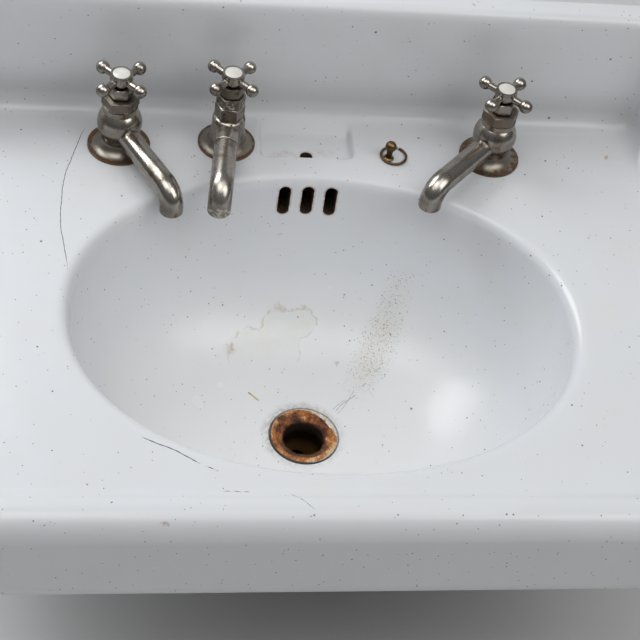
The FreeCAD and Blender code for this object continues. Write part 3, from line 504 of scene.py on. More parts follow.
    def build(self, finishes: "Finishes") -> Object:
        """Makes the skin with its soap recess, holes and slots, and the bosses under it.

        Args:
            finishes: Where the enamel and the bare iron come from.

        Returns:
            The casting, which stands for the CAD basin.
        """
        points, top_end = self.skin()
        self.press_soap_recess(points[:top_end])
        self.thicken_back(points[top_end:])
        piece = grid_object("basin_casting", points[:, ::-1], wrap_rows=True)
        iron = finishes.by_slot["cast_iron"]
        for material in (finishes.by_slot["enamel"], iron, finishes.rust):
            piece.data.materials.append(material)
        rows = np.repeat(np.arange(points.shape[0]), points.shape[1])
        piece.data.polygons.foreach_set("material_index", (rows >= top_end).astype(np.int32))
        self.cut_openings(piece)
        LOG.info("basin casting, %d faces from a grid of %s", len(piece.data.polygons), points.shape[:2])
        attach(piece, "root")
        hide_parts("basin")
        self.bosses(iron)
        return piece

    def cut_openings(self, piece: Object) -> None:
        """Cuts the slots, the soap hole, the tap and stay holes and the wall bolt holes.

        Args:
            piece: The casting, whose third material lines the cuts.
        """
        upright = [(0.0, *self.soap_hole), (*self.stay, self.stay_hole)]
        upright += [(*spot, self.tap_hole) for spot in self.taps]
        bolt = self.bolt_hole
        cuts = [(stadium(*self.slot_half), (k * self.slot_pitch, self.slot_z), 1, self.slot_cut)
                for k in (-1, 0, 1)]
        cuts += [(stadium(radius, radius), (x, y), 2, self.deck_cut) for x, y, radius in upright]
        cuts += [(stadium(bolt, bolt), (k * self.bolt_x, self.bolt_z), 1, self.bolt_cut) for k in (-1, 1)]
        lows, highs = (np.stack([np.insert(outline + np.array(centre), axis, ends[end], axis=1)
                                 for outline, centre, axis, ends in cuts]) for end in (0, 1))
        cutter = prisms("basin_openings", lows, highs)
        for material in piece.data.materials:
            cutter.data.materials.append(material)
        lining = np.full(len(cutter.data.polygons), 2, np.int32)
        cutter.data.polygons.foreach_set("material_index", lining)
        cut = piece.modifiers.new("openings", "BOOLEAN")
        cut.operation = "DIFFERENCE"
        cut.solver = "EXACT"
        cut.use_self = True
        cut.object = cutter
        settle(piece)
        bpy.data.objects.remove(cutter)
        piece.data.set_sharp_from_angle(angle=math.radians(self.sharp))

    def bosses(self, iron: Material) -> None:
        """The cast bosses under the taps and the stay and behind the wall bolts, as closed rings.

        A boss in section runs out from its hole, round its lower edge and up into the casting.

        Args:
            iron: Their finish.
        """
        taps = zip(("boss_left_tap", "boss_middle_tap", "boss_right_tap"), self.taps)
        rings = [(name, self.tap_hole, self.tap_boss, (*spot, -self.wall), "Z") for name, spot in taps]
        rings.append(("boss_chain_stay", self.stay_hole, self.stay_boss, (*self.stay, -self.wall), "Z"))
        rings += [(name, self.bolt_hole, self.bolt_boss, (x, self.bolt_skirt, self.bolt_z), "Y")
                  for name, x in (("boss_wall_left", -self.bolt_x), ("boss_wall_right", self.bolt_x))]
        for name, hole, (radius, drop), centre, around in rings:
            edge = arc((radius - self.boss_round, self.boss_round - drop), self.boss_round, -90.0, 0.0, 6)
            profile = np.concatenate([[[hole, 0.6], [hole, 0.5 - drop], [hole + 0.5, -drop]], edge,
                                      [[radius, -0.5], [radius + 1.2, 0.6]]])
            piece = turned(name, profile, centre, around)
            piece.data.materials.append(iron)
            piece.data.set_sharp_from_angle(angle=math.radians(self.boss_sharp))
            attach(piece, "root")


# The rust in the waste

@dataclass(frozen=True)
class WasteCrust:
    """The rust that has grown over the waste's stepped seat and mouth, as one closed ragged ring.

    The face is given down the step by (share of the way in, lift) and down the bore by (radius, rise,
    roughness), the back inside the metal by (radius, rise). Sizes are in millimetres.
    """

    columns: int = 288
    reach: float = 29.4
    step_radius: float = 25.0
    top: float = -158.8
    seat: float = -160.6
    chip: float = 4.3
    step: tuple[Pair, ...] = ((0.0, -0.25), (0.06, 0.12), (0.3, 0.42), (0.6, 0.50), (0.85, 0.50), (1.0, 0.40))
    bore: tuple[Triple, ...] = (
        (24.2, 0.35, 0.4), (22.9, 0.55, 0.8), (21.6, 0.45, 1.2), (20.3, -0.1, 1.4), (19.1, -1.3, 1.5),
        (18.2, -3.0, 1.4), (17.9, -5.4, 1.2), (17.9, -8.2, 0.8), (18.1, -11.5, 0.3), (18.3, -15.5, 0.1))
    back: tuple[Pair, ...] = ((18.9, -16.2), (19.6, -8.0), (20.6, -4.4), (22.0, -1.9), (24.0, -1.2),
                              (26.0, -0.2), (28.6, 0.9))

    def uneven(self, turn: Array, periods: Sequence[int], seed: float) -> Array:
        """A closed wavy line round the ring between -1 and 1: the mean of sines of whole periods."""
        waves = [np.sin(k * turn + seed * (k + 1.7)) / math.sqrt(k) for k in periods]
        return np.sum(waves, 0) / sum(1 / math.sqrt(k) for k in periods)

    def face(self, turn: Array) -> Array:
        """The rust's open face, row by row from the flange's edge over the step and down the bore.

        It is chipped back at the upper right, and leans into the bore at the front.

        Args:
            turn: Angles round the ring.

        Returns:
            Rows by columns by 2, radius and height.
        """
        up_right, front = (np.exp(-((turn - math.radians(angle)) / math.radians(spread)) ** 2)
                           for angle, spread in ((38, 34), (262, 36)))
        ragged = self.uneven(turn, (7, 12, 19, 31, 47), 2.0)
        chipped = self.chip * np.clip(up_right * (1.0 + 0.5 * ragged), 0.0, 1.0)
        edge = self.reach - chipped - 0.9 * np.abs(ragged)
        rows = []
        for share, lift in self.step:
            radius = edge + (self.step_radius - 0.4 - edge) * share
            height = self.top + lift * (1 + 0.5 * self.uneven(turn, (5, 9, 16, 27), 3.0 + share))
            rows.append(np.stack([radius, height], -1))
        for k, (radius, rise, rough) in enumerate(self.bore):
            inward = front * math.sin(math.pi * min(max((k - 3) / 6.0, 0.0), 1.0))
            wave = self.uneven(turn, (4, 7, 11, 17, 29), 5.0 + 0.45 * k)
            height = self.seat + rise + 0.35 * self.uneven(turn, (6, 13, 23), 8.0 + 0.6 * k)
            rows.append(np.stack([radius - inward + rough * wave * 0.8, height], -1))
        return np.stack(rows)

    def build(self, finish: Material) -> None:
        """Makes the ring: its face in front, and its back inside the waste's metal."""
        turn = np.linspace(0, 2 * np.pi, self.columns, endpoint=False)
        face = self.face(turn)
        within = face[0, :, 0] - 0.3
        hidden = np.stack([np.stack([np.minimum(radius, within), np.full(turn.shape, self.seat + rise)], -1)
                           for radius, rise in self.back])
        ring = np.concatenate([face, hidden])
        x = ring[..., 0] * np.cos(turn)
        y = DRAIN_Y + ring[..., 0] * np.sin(turn)
        piece = grid_object("waste_crust", np.stack([x, y, ring[..., 1]], -1), wrap_rows=True)
        piece.data.materials.append(finish)
        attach(piece, "root")
        LOG.info("rust in the waste, %d faces", len(piece.data.polygons))


# Cracks and scratches

@dataclass(frozen=True)
class Mark:
    """A thin line on the enamel, given by its ends in plan, how far it bows and how broken it is."""

    name: str
    start: Pair
    end: Pair
    bow: float
    width: float
    wander: float
    broken: float
    periods: Triple = (1.6, 3.7, 9.1)
    proud: float = 0.03
    thick: float = 0.06
    above: float = 40.0

    def plan(self) -> Array:
        """The strip in plan: along the line, its bow is half a sine and its wander a few slow sines.

        Returns:
            Rows by two by 3, in millimetres, well above the basin.
        """
        length = math.dist(self.start, self.end)
        share = np.linspace(0, 1, max(8, round(length)))
        a, b = np.array(self.start), np.array(self.end)
        way = (b - a) / length
        side = np.array([-way[1], way[0]])
        seed = sum(map(ord, self.name))
        sway = sum(np.sin(share * length / period + seed * period) * period for period in self.periods) / 9.0
        off = self.bow * np.sin(np.pi * share) + self.wander * sway
        middle = a + (b - a) * share[:, None] + side * off[:, None]
        pulse = np.clip(0.5 + 1.4 * np.sin(share * length / 1.1 + seed), 0.04, 1.0)
        taper = np.clip(12 * share * (1 - share), 0.15, 1.0)
        half = self.width / 2 * taper * (1 - self.broken * (1 - pulse))
        flat = np.stack([middle + side * half[:, None] * k for k in (-1, 1)], 1)
        return np.concatenate([flat, np.full((*flat.shape[:2], 1), self.above)], -1)

    def build(self, casting: Object, finish: Material) -> None:
        """Lays the strip down on the casting.

        Args:
            casting: What the strip lies on.
            finish: Its finish.
        """
        piece = grid_object("mark_" + self.name, self.plan(), wrap_columns=False)
        fall = piece.modifiers.new("fall", "SHRINKWRAP")
        fall.target = casting
        fall.wrap_method = "PROJECT"
        fall.use_project_z = True
        fall.use_positive_direction = False
        fall.use_negative_direction = True
        fall.offset = self.proud * MM
        thick = piece.modifiers.new("thick", "SOLIDIFY")
        thick.thickness = self.thick * MM
        thick.offset = 0.0
        settle(piece)
        piece.data.materials.append(finish)
        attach(piece, "root")


@dataclass(frozen=True)
class Marks:
    """The cracks, scuffs and scratches of the enamel."""

    cracks: tuple[Mark, ...] = (
        Mark("long_crack", (-192.6, -50.0), (-205.2, -223.0), -13.0, 0.60, 0.35, 0.25),
        Mark("lip_crack", (-149.5, -390.2), (-107.7, -415.2), 1.4, 0.8, 0.5, 0.30),
        Mark("lip_crack_end", (-104.0, -416.6), (-94.0, -421.0), 0.3, 0.7, 0.4, 0.95))
    scuffs: tuple[Mark, ...] = (
        Mark("dotted_scuff", (-92.2, -440.1), (-72.8, -440.1), 0.3, 0.7, 0.6, 0.95),
        Mark("rim_scratch", (-44.1, -442.4), (-28.0, -459.5), 0.6, 0.55, 0.4, 0.6),
        Mark("drain_scratch_a", (30.2, -239.5), (51.8, -220.9), 1.5, 0.5, 0.4, 0.3),
        Mark("drain_scratch_b", (31.5, -242.0), (50.0, -214.5), -1.0, 0.4, 0.4, 0.4),
        Mark("drain_scratch_c", (28.0, -237.0), (41.0, -226.0), 0.5, 0.4, 0.3, 0.4))
    yellow: tuple[Mark, ...] = (
        Mark("yellow_scratch", (-46.4, -218.5), (-36.4, -227.4), 0.4, 1.9, 0.5, 0.2),)

    def build(self, casting: Object, finishes: "Finishes") -> None:
        """Lays down every mark."""
        for marks, finish in ((self.cracks, finishes.crack), (self.scuffs, finishes.scuff),
                              (self.yellow, finishes.yellow)):
            for mark in marks:
                mark.build(casting, finish)


# Finishes

class Paint:
    """Builds one procedural material, node by node, in the object's own metres."""

    def __init__(self, name: str, colour: Tint = (0.5, 0.5, 0.5)) -> None:
        """Starts a material with an empty tree, one shader and a first coat of colour."""
        self.material = bpy.data.materials.new(name)
        self.material.use_nodes = True
        self.tree = self.material.node_tree
        self.tree.nodes.clear()
        self.colour = colour
        self.shader = self.node("BsdfPrincipled")
        self.node("OutputMaterial", {0: self.shader.outputs[0]})
        coordinates = self.node("TexCoord")
        self.place, self.normal = coordinates.outputs["Object"], coordinates.outputs["Normal"]
        self.x, self.y, self.z = self.node("SeparateXYZ", {0: self.place}).outputs

    def node(self, kind: str, inputs: dict | None = None, **settings: str) -> bpy.types.Node:
        """Adds a node with its settings, and puts values into its sockets."""
        node = self.tree.nodes.new("ShaderNode" + kind)
        for key, value in settings.items():
            setattr(node, key, value)
        for key, value in (inputs or {}).items():
            self.put(node.inputs[key], value)
        return node

    def put(self, socket: Socket, value: Input | Sequence[float]) -> None:
        """Sets a socket to a constant, or links another socket to it."""
        if isinstance(value, Socket):
            self.tree.links.new(value, socket)
        elif not isinstance(value, (int, float)) and len(value) < len(socket.default_value):
            socket.default_value = (*value, 1.0)
        else:
            socket.default_value = value

    def done(self, **values: Input) -> Material:
        """Sets the shader's colour and other sockets, whose names have underscores for spaces."""
        for key, value in {"Base_Color": self.colour, **values}.items():
            self.put(self.shader.inputs[key.replace("_", " ")], value)
        return self.material

    def lay(self, tint: Tint, *shares: Input) -> None:
        """Lays a colour over the last one, covering the product of some shares."""
        self.colour = self.blend(self.times(*shares), self.colour, tint)

    def blend(self, share: Input, a: Tint, b: Tint) -> Socket:
        """A colour between a and b."""
        colour_a, colour_b, colour_out = 6, 7, 2
        return self.node("Mix", {0: share, colour_a: a, colour_b: b}, data_type="RGBA").outputs[colour_out]

    def math(self, kind: str, *values: Input) -> Socket:
        """One arithmetic step."""
        return self.node("Math", dict(enumerate(values)), operation=kind).outputs[0]

    def times(self, *values: Input) -> Socket:
        """The product of some values."""
        return reduce(lambda a, b: self.math("MULTIPLY", a, b), values)

    def plus(self, *values: Input) -> Socket:
        """The sum of some values."""
        return reduce(lambda a, b: self.math("ADD", a, b), values)

    def minus(self, a: Input, b: Input) -> Socket:
        """The difference of two values."""
        return self.math("SUBTRACT", a, b)

    def most(self, *values: Input) -> Socket:
        """The largest of some values."""
        return reduce(lambda a, b: self.math("MAXIMUM", a, b), values)

    def within(self, value: Socket, reach: float) -> Socket:
        """1 where a value is closer to 0 than its reach, else 0."""
        return self.math("LESS_THAN", self.math("ABSOLUTE", value), reach)

    def length(self, a: Socket, b: Socket) -> Socket:
        """Length of a line with two parts at right angles."""
        return self.math("SQRT", self.plus(self.times(a, a), self.times(b, b)))

    def step(self, value: Socket, low: float, high: float, to: Pair = (0.0, 1.0)) -> Socket:
        """Eases a value from one number at low to another at high."""
        inputs = dict(enumerate((value, low, high, *to)))
        return self.node("MapRange", inputs, interpolation_type="SMOOTHSTEP").outputs[0]

    def noise(self, size: float, detail: float = 2.0, rough: float = 0.5, where: Socket | None = None,
              offset: float = 0.0) -> Socket:
        """Cloudy noise whose blotches are about size metres across."""
        inputs = {"W": offset, "Scale": 1 / size, "Detail": detail, "Roughness": rough,
                  "Vector": where or self.place}
        return self.node("TexNoise", inputs, noise_dimensions="4D").outputs[0]

    def clouds(self, low: float, high: float, size: float, detail: float = 2.0, rough: float = 0.5,
               offset: float = 0.0) -> Socket:
        """Noise turned into patches: 0 where it is low and 1 where it is high."""
        return self.step(self.noise(size, detail, rough, offset=offset), low, high)

    def specks(self, size: float, radius: float, share: Input, where: Socket | None = None) -> Socket:
        """Round specks: one in each cell of a given size, kept in only a share of the cells."""
        cells = self.node("TexVoronoi", {"Scale": 1 / size, "Vector": where or self.place})
        chance, wide = self.node("SeparateColor", {0: cells.outputs["Color"]}).outputs[:2]
        large = radius / size
        reach = self.plus(self.times(wide, 0.6 * large), 0.4 * large)
        out = self.minus(cells.outputs["Distance"], reach)
        return self.times(self.step(out, 0.12 * large, -0.12 * large), self.math("LESS_THAN", chance, share))

    def vector(self, kind: str, a: Socket, b: Input | Triple) -> Socket:
        """One step of vector arithmetic."""
        node = self.node("VectorMath", {0: a, "Scale" if kind == "SCALE" else 1: b}, operation=kind)
        return node.outputs["Value" if kind in ("LENGTH", "DOT_PRODUCT") else 0]

    def shifted(self, amount: float, size: float) -> Socket:
        """Places pushed about by noise, so that edges wander."""
        inputs = {"Scale": 1 / size, "Detail": 3.0, "Vector": self.place}
        centred = self.vector("SUBTRACT", self.node("TexNoise", inputs).outputs["Color"], (0.5, 0.5, 0.5))
        return self.vector("ADD", self.place, self.vector("SCALE", centred, amount))

    def away(self, centre: Triple, stretch: Triple, where: Socket | None = None) -> Socket:
        """Distance to a centre in metres, where each axis is divided by its own size."""
        moved = self.vector("SUBTRACT", where or self.place, centre)
        return self.vector("LENGTH", self.vector("MULTIPLY", moved, tuple(1 / k for k in stretch)), (0, 0, 0))

    def from_axis(self, y: float, where: Socket | None = None) -> Socket:
        """Distance to an upright axis in the middle plane, in metres."""
        return self.away((0.0, y, 0.0), (1.0, 1.0, IGNORED), where)

    def along(self, centre: Triple, way: Triple) -> Socket:
        """How far a place lies from a centre along one direction, in metres."""
        return self.vector("DOT_PRODUCT", self.vector("SUBTRACT", self.place, centre), way)

    def bumps(self, *layers: tuple[Socket, float]) -> Socket:
        """A normal tilted by several heights in turn, each with its depth in metres."""
        under: dict = {}
        for height, depth in layers:
            inputs = {"Strength": 1.0, "Distance": depth, "Height": height, **under}
            under = {"Normal": self.node("Bump", inputs).outputs[0]}
        return under["Normal"]


class Metal(Enum):
    """Base colours of the metals: (clean, tarnished, dark), the dark one for grime and for painted shade on
    the sides.
    """

    NICKEL = ((0.54, 0.495, 0.435), (0.20, 0.165, 0.13), (0.065, 0.048, 0.035))
    BROWNED = ((0.31, 0.28, 0.24), (0.21, 0.165, 0.12), (0.075, 0.052, 0.034))
    BRASS = ((0.58, 0.44, 0.20), (0.36, 0.25, 0.11), (0.11, 0.08, 0.04))
    BRONZE = ((0.22, 0.135, 0.065), (0.14, 0.082, 0.038), (0.045, 0.028, 0.015))
    COPPER = ((0.62, 0.33, 0.19), (0.34, 0.17, 0.09), (0.10, 0.05, 0.03))
    ZINC = ((0.42, 0.42, 0.41), (0.27, 0.25, 0.23), (0.09, 0.08, 0.07))


class Deposit(Enum):
    """What builds up on metal: (colour, how much of it still shines, roughness, size of its blotches)."""

    LIME = ((0.50, 0.48, 0.41), 0.05, 0.75, 0.0028)
    GRIME = ((0.060, 0.043, 0.030), 0.30, 0.55, 0.0040)
    COPPERY = ((0.185, 0.105, 0.056), 0.75, 0.42, 0.0060)


@dataclass(frozen=True)
class Layer:
    """A deposit that grows along one direction, from none at start to its full share at end, in metres."""

    deposit: Deposit
    way: Triple
    start: float
    end: float
    cover: float


@dataclass(frozen=True)
class MetalFinish:
    """Worn metal: painted shade darkens the sides so the tops read bright, browner in patches, with pits and
    deposits.
    """

    name: str
    metal: Metal
    tarnish: float = 0.45
    grime: float = 0.30
    rough: float = 0.22
    layers: tuple[Layer, ...] = ()
    patch: float = 0.013
    # How much painted shade darkens the sides
    painted_side_shade: float = 0.62

    def make(self) -> Material:
        """Builds the material."""
        clean, tarnished, grime_and_side_shade = self.metal.value
        paint = Paint(self.name, clean)
        cloud = paint.noise(self.patch, 3.0, 0.5)
        tarnish = paint.step(cloud, 0.62 - 0.3 * self.tarnish, 0.86 - 0.3 * self.tarnish)
        spots = paint.noise(self.patch * 0.35, 3.0, 0.6, offset=3.0)
        grime = paint.step(spots, 0.76 - 0.3 * self.grime, 0.90 - 0.3 * self.grime)
        pits = paint.specks(0.0021, 0.00036, 0.25 * self.grime + 0.03)
        paint.lay(tarnished, tarnish)
        # Painted shade: faces that look sideways or down get the dark colour, so the tops read bright and the
        # sides dark
        upward = paint.node("SeparateXYZ", {0: paint.normal}).outputs[2]
        paint.lay(grime_and_side_shade, paint.step(paint.plus(upward, paint.times(cloud, 0.4)), 0.80, 0.25), self.painted_side_shade)
        paint.lay(grime_and_side_shade, paint.most(paint.times(grime, 0.8), pits))
        rough = paint.plus(paint.times(paint.noise(0.006, 2.0, offset=5.0), 0.10), self.rough - 0.05,
                           paint.times(tarnish, 0.10), paint.times(grime, 0.20))
        shine = paint.minus(1.0, paint.times(grime, 0.4))
        height = paint.minus(1.0, paint.most(paint.times(grime, 0.5), pits))
        for layer in self.layers:
            tint, metallic, dull, size = layer.deposit.value
            grown = paint.step(paint.along((0.0, 0.0, 0.0), layer.way), layer.start, layer.end,
                               (1.15, 0.95 - 0.62 * layer.cover))
            share = paint.step(paint.minus(paint.noise(size, 5.0, 0.65, offset=9.0), grown), -0.03, 0.05)
            paint.lay(tint, share)
            rough = paint.plus(rough, paint.times(share, dull - self.rough))
            shine = paint.math("MINIMUM", shine, paint.minus(1.0, paint.times(share, 1.0 - metallic)))
            height = paint.plus(height, paint.times(share, 1.2))
        normal = paint.bumps((paint.noise(0.014, 1.0, 0.4, offset=2.0), 0.00022),
                             (paint.noise(0.0016, 2.0, 0.5, offset=1.0), 0.000012), (height, 0.00009))
        return paint.done(Roughness=rough, Metallic=shine, Normal=normal)


@dataclass(frozen=True)
class PlainFinish:
    """A dull finish with clouds of a second colour and a fine grain."""

    name: str
    light: Triple
    dark: Triple
    rough: float
    patch: float = 0.01
    grain: float = 0.0008
    depth: float = 0.0001
    coat: float = 0.0

    def make(self) -> Material:
        """Builds the material."""
        paint = Paint(self.name, self.dark)
        paint.lay(self.light, paint.clouds(0.35, 0.65, self.patch, 4.0, 0.6))
        normal = paint.bumps((paint.noise(self.grain, 3.0, 0.6, offset=2.0), self.depth))
        glaze = {"Coat_Weight": self.coat, "Coat_Roughness": 0.06} if self.coat else {}
        return paint.done(Roughness=self.rough, Normal=normal, **glaze)


@dataclass(frozen=True)
class Enamel:
    """White vitreous enamel, worn: waves, pinholes, rust round the openings, a tide mark, a dark streak.

    An opening is given by its place and its radius or half sizes, a stain by its centre, its reach and
    how strong it is, all in metres.
    """

    white: Triple = (0.770, 0.785, 0.807)
    grey: Triple = (0.66, 0.67, 0.685)
    # Painted light: a paler colour low in the bowl
    painted_light_bowl: Triple = (0.838, 0.845, 0.850)
    # Painted shade: a grey laid over the deck close to the raised back
    film: Triple = (0.55, 0.56, 0.57)
    dirt: Triple = (0.30, 0.30, 0.25)
    rust: Triple = (0.40, 0.20, 0.07)
    yellow: Triple = (0.68, 0.60, 0.40)
    tan: Triple = (0.52, 0.42, 0.24)
    speck: Triple = (0.10, 0.07, 0.045)
    black: Triple = (0.055, 0.045, 0.04)
    slot_half: Pair = (0.00525, 0.0155)
    slot_pitch: float = 0.0205
    slot_place: Pair = (-0.105, -0.025)
    soap_hole: Pair = (-0.073, 0.0055)
    drain: Pair = (DRAIN_Y * MM, 0.031)
    tide: tuple[tuple[float, float, float, float], ...] = (
        (-0.041, -0.187, 0.021, 0.027), (-0.016, -0.172, 0.019, 0.028), (0.003, -0.155, 0.016, 0.011))
    streak_centre: Triple = (0.072, -0.178, 0.0)
    streak_way: Triple = (-0.466, -0.885, 0.0)
    streak_half: Pair = (0.060, 0.021)
    stains: tuple[tuple[Triple, Triple, float], ...] = (
        ((-0.019, -0.072, -0.006), (0.014, 0.006, 0.01), 0.30),
        ((0.016, -0.068, -0.006), (0.012, 0.006, 0.01), 0.16),
        ((0.037, -0.188, -0.153), (0.0020, 0.0022, 0.004), 0.85),
        ((-0.134, -0.4694, 0.001), (0.0048, 0.0016, 0.004), 0.60),
        ((-0.062, -0.178, -0.146), (0.005, 0.006, 0.006), 0.45))

    def make(self) -> Material:
        """Builds the material."""
        paint = Paint("enamel_worn", self.white)
        paint.lay(self.grey, paint.clouds(0.35, 0.75, 0.09, 3.0, 0.55), 0.10)
        paint.lay(self.yellow, paint.clouds(0.40, 0.90, 0.035, 2.0, 0.5, 4.0), 0.08)
        moved = paint.shifted(0.010, 0.010)
        # Painted light: paler enamel low in the bowl
        paint.lay(self.painted_light_bowl, paint.step(paint.z, -0.09, -0.15))
        # Painted shade: grey over the deck next to the raised back, fading out towards the front and up the
        # back, and kept off its outer face
        paint.lay(self.film, paint.step(paint.y, -0.105, -0.020), paint.step(paint.z, -0.035, -0.004),
                  paint.step(paint.z, 0.050, 0.012), paint.step(paint.y, -0.0005, -0.004), 0.80)
        self.tide_mark(paint, moved)
        spotty = paint.clouds(0.34, 0.62, 0.004, 4.0, 0.65, 7.0)
        for centre, reach, strength in self.stains:
            paint.lay(self.rust, paint.step(paint.away(centre, reach, moved), 1.3, 0.3), spotty, strength)
        paint.lay(self.dirt, self.drain_dirt(paint), 0.62)
        wash = paint.times(self.openings_rust(paint), spotty)
        paint.lay(self.rust, wash, 0.8)
        pinholes = self.specks(paint, moved)
        normal = paint.bumps((paint.noise(0.06, 2.0, 0.4, offset=1.0), 0.0012),
                             (paint.noise(0.006, 2.0, 0.5, offset=2.0), 0.00004),
                             (paint.minus(1.0, pinholes), 0.0002))
        dull = paint.times(paint.step(paint.z, -0.004, -0.12), paint.noise(0.05, 1.0, offset=6.0))
        rough = paint.plus(paint.times(dull, 0.12), 0.19, paint.times(wash, 0.3))
        return paint.done(Roughness=rough, Normal=normal)

    def openings_rust(self, paint: Paint) -> Socket:
        """Rust close to the openings: 1 at the edge of a slot, the soap hole or the drain, 0 further out."""
        half, tall = self.slot_half
        behind, height = self.slot_place
        beside = paint.math("WRAP", paint.x, self.slot_pitch / 2, -self.slot_pitch / 2)
        upright = paint.minus(paint.math("ABSOLUTE", paint.minus(paint.z, height)), tall - half)
        out = paint.minus(paint.length(beside, paint.most(upright, 0.0)), half)
        slots = paint.times(paint.step(out, 0.0022, 0.0001), paint.within(paint.x, 1.5 * self.slot_pitch),
                            paint.within(paint.plus(paint.y, -behind), 0.030))
        hole = paint.minus(paint.from_axis(self.soap_hole[0]), self.soap_hole[1])
        seat = paint.minus(paint.from_axis(self.drain[0]), self.drain[1])
        low = paint.math("LESS_THAN", paint.z, -0.12)
        return paint.most(slots, paint.step(hole, 0.0030, 0.0001),
                          paint.times(paint.step(seat, 0.0035, 0.0), low, 0.25))

    def drain_dirt(self, paint: Paint) -> Socket:
        """Grey dirt in a ragged halo round the drain, 0 further than a centimetre out."""
        middle = self.drain[0]
        out = paint.from_axis(middle, paint.shifted(0.006, 0.009))
        up_left = paint.along((0.0, middle, 0.0), (-0.8, 0.6, 0.0))
        return paint.times(paint.step(out, 0.0400, 0.0305), paint.math("LESS_THAN", paint.z, -0.12),
                           paint.step(up_left, -0.03, 0.03, (0.35, 1.0)),
                           paint.clouds(0.30, 0.62, 0.004, 4.0, 0.65, 11.0))

    def tide_mark(self, paint: Paint, moved: Socket) -> None:
        """The tide mark on the back slope: the edge of three joined ovals, open towards the drain."""
        ovals = [paint.away((x, y, -0.14), (wide, deep, IGNORED), moved) for x, y, wide, deep in self.tide]
        inside = reduce(lambda a, b: paint.math("MINIMUM", a, b), ovals)
        edge = paint.step(paint.math("ABSOLUTE", paint.minus(inside, 1.0)), 0.085, 0.01)
        low = paint.times(paint.step(paint.z, -0.09, -0.12), paint.step(paint.y, -0.200, -0.172))
        paint.lay(self.tan, edge, paint.clouds(0.36, 0.60, 0.007, 3.0, 0.6, 8.0), low, 0.45)
        paint.lay(self.yellow, paint.step(inside, 1.0, 0.85), paint.clouds(0.15, 0.80, 0.012, 3.0, 0.6),
                  low, 0.17)

    def specks(self, paint: Paint, moved: Socket) -> Socket:
        """Brown spots, the dark speckled streak in the bowl, and pinholes all over, which it returns."""
        pinholes = paint.most(paint.specks(0.024, 0.00110, 0.70), paint.specks(0.0105, 0.00080, 0.75),
                              paint.specks(0.0066, 0.00055, 0.85))
        ways = (self.streak_way, (-self.streak_way[1], self.streak_way[0], 0.0))
        parts = [paint.math("DIVIDE", paint.along(self.streak_centre, way), half)
                 for way, half in zip(ways, self.streak_half)]
        cover = paint.times(paint.step(paint.length(*parts), 1.15, 0.15), paint.step(paint.z, -0.07, -0.10))
        dark = paint.most(paint.specks(0.0012, 0.00042, paint.times(cover, 0.95)),
                          paint.specks(0.0023, 0.00066, paint.times(cover, 0.9)))
        paint.lay(self.tan, cover, 0.16)
        paint.lay(self.speck, dark, 0.66)
        paint.lay(self.rust, paint.specks(0.034, 0.0019, 0.18, moved), 0.5)
        paint.lay(self.black, pinholes, 0.80)
        return pinholes


@dataclass(frozen=True)
class WasteFinish:
    """The waste's own metal: a creamy limescaled flange with a dark edge, and a bore painted dark near its
    top as shade and rust brown deeper down as painted light.
    """

    middle: float = DRAIN_Y * MM
    lime: Triple = (0.82, 0.80, 0.74)
    dull_lime: Triple = (0.50, 0.45, 0.36)
    rust: Triple = (0.40, 0.20, 0.08)
    seat: Triple = (0.22, 0.10, 0.04)
    brass: tuple[Triple, Triple] = ((0.20, 0.14, 0.07), (0.40, 0.30, 0.15))
    # Painted shade and light in the bore: dark higher up, lit rust brown lower down
    bore: tuple[Triple, Triple] = ((0.020, 0.011, 0.006), (0.36, 0.19, 0.07))
    edge: Triple = (0.045, 0.035, 0.028)

    def make(self) -> Material:
        """Builds the material."""
        paint = Paint("waste_limed", self.dull_lime)
        out = paint.from_axis(self.middle, paint.shifted(0.0012, 0.004))
        paint.lay(self.lime, paint.clouds(0.35, 0.7, 0.004, 4.0, 0.6, 3.0))
        paint.lay(self.rust, paint.clouds(0.60, 0.68, 0.0035, 4.0, 0.65))
        paint.lay(self.seat, paint.step(out, 0.0250, 0.0235))
        low = paint.step(paint.z, -0.1605, -0.1660)
        below = paint.blend(paint.clouds(0.35, 0.65, 0.01, 3.0, 0.6), *self.brass)
        # Painted shade and light: the bore darkest near its top, rust brown deeper down
        inside = paint.blend(paint.step(paint.z, -0.183, -0.200), *self.bore)
        paint.lay(paint.blend(paint.step(out, 0.0192, 0.0188), below, inside), low)
        near = paint.along((0.0, self.middle, 0.0), (0.83, 0.55, 0.0))
        wide = paint.plus(out, paint.step(near, -0.004, -0.024, (0.0, 0.0009)))
        rim = paint.times(paint.step(wide, 0.0290, 0.0299), paint.math("GREATER_THAN", paint.z, -0.1625))
        paint.lay(self.edge, rim, paint.step(near, 0.026, -0.006, (0.25, 0.95)))
        normal = paint.bumps((paint.noise(0.0012, 4.0, 0.65, offset=2.0), 0.0002))
        return paint.done(Roughness=0.5, Metallic=paint.times(low, 0.6), Normal=normal)


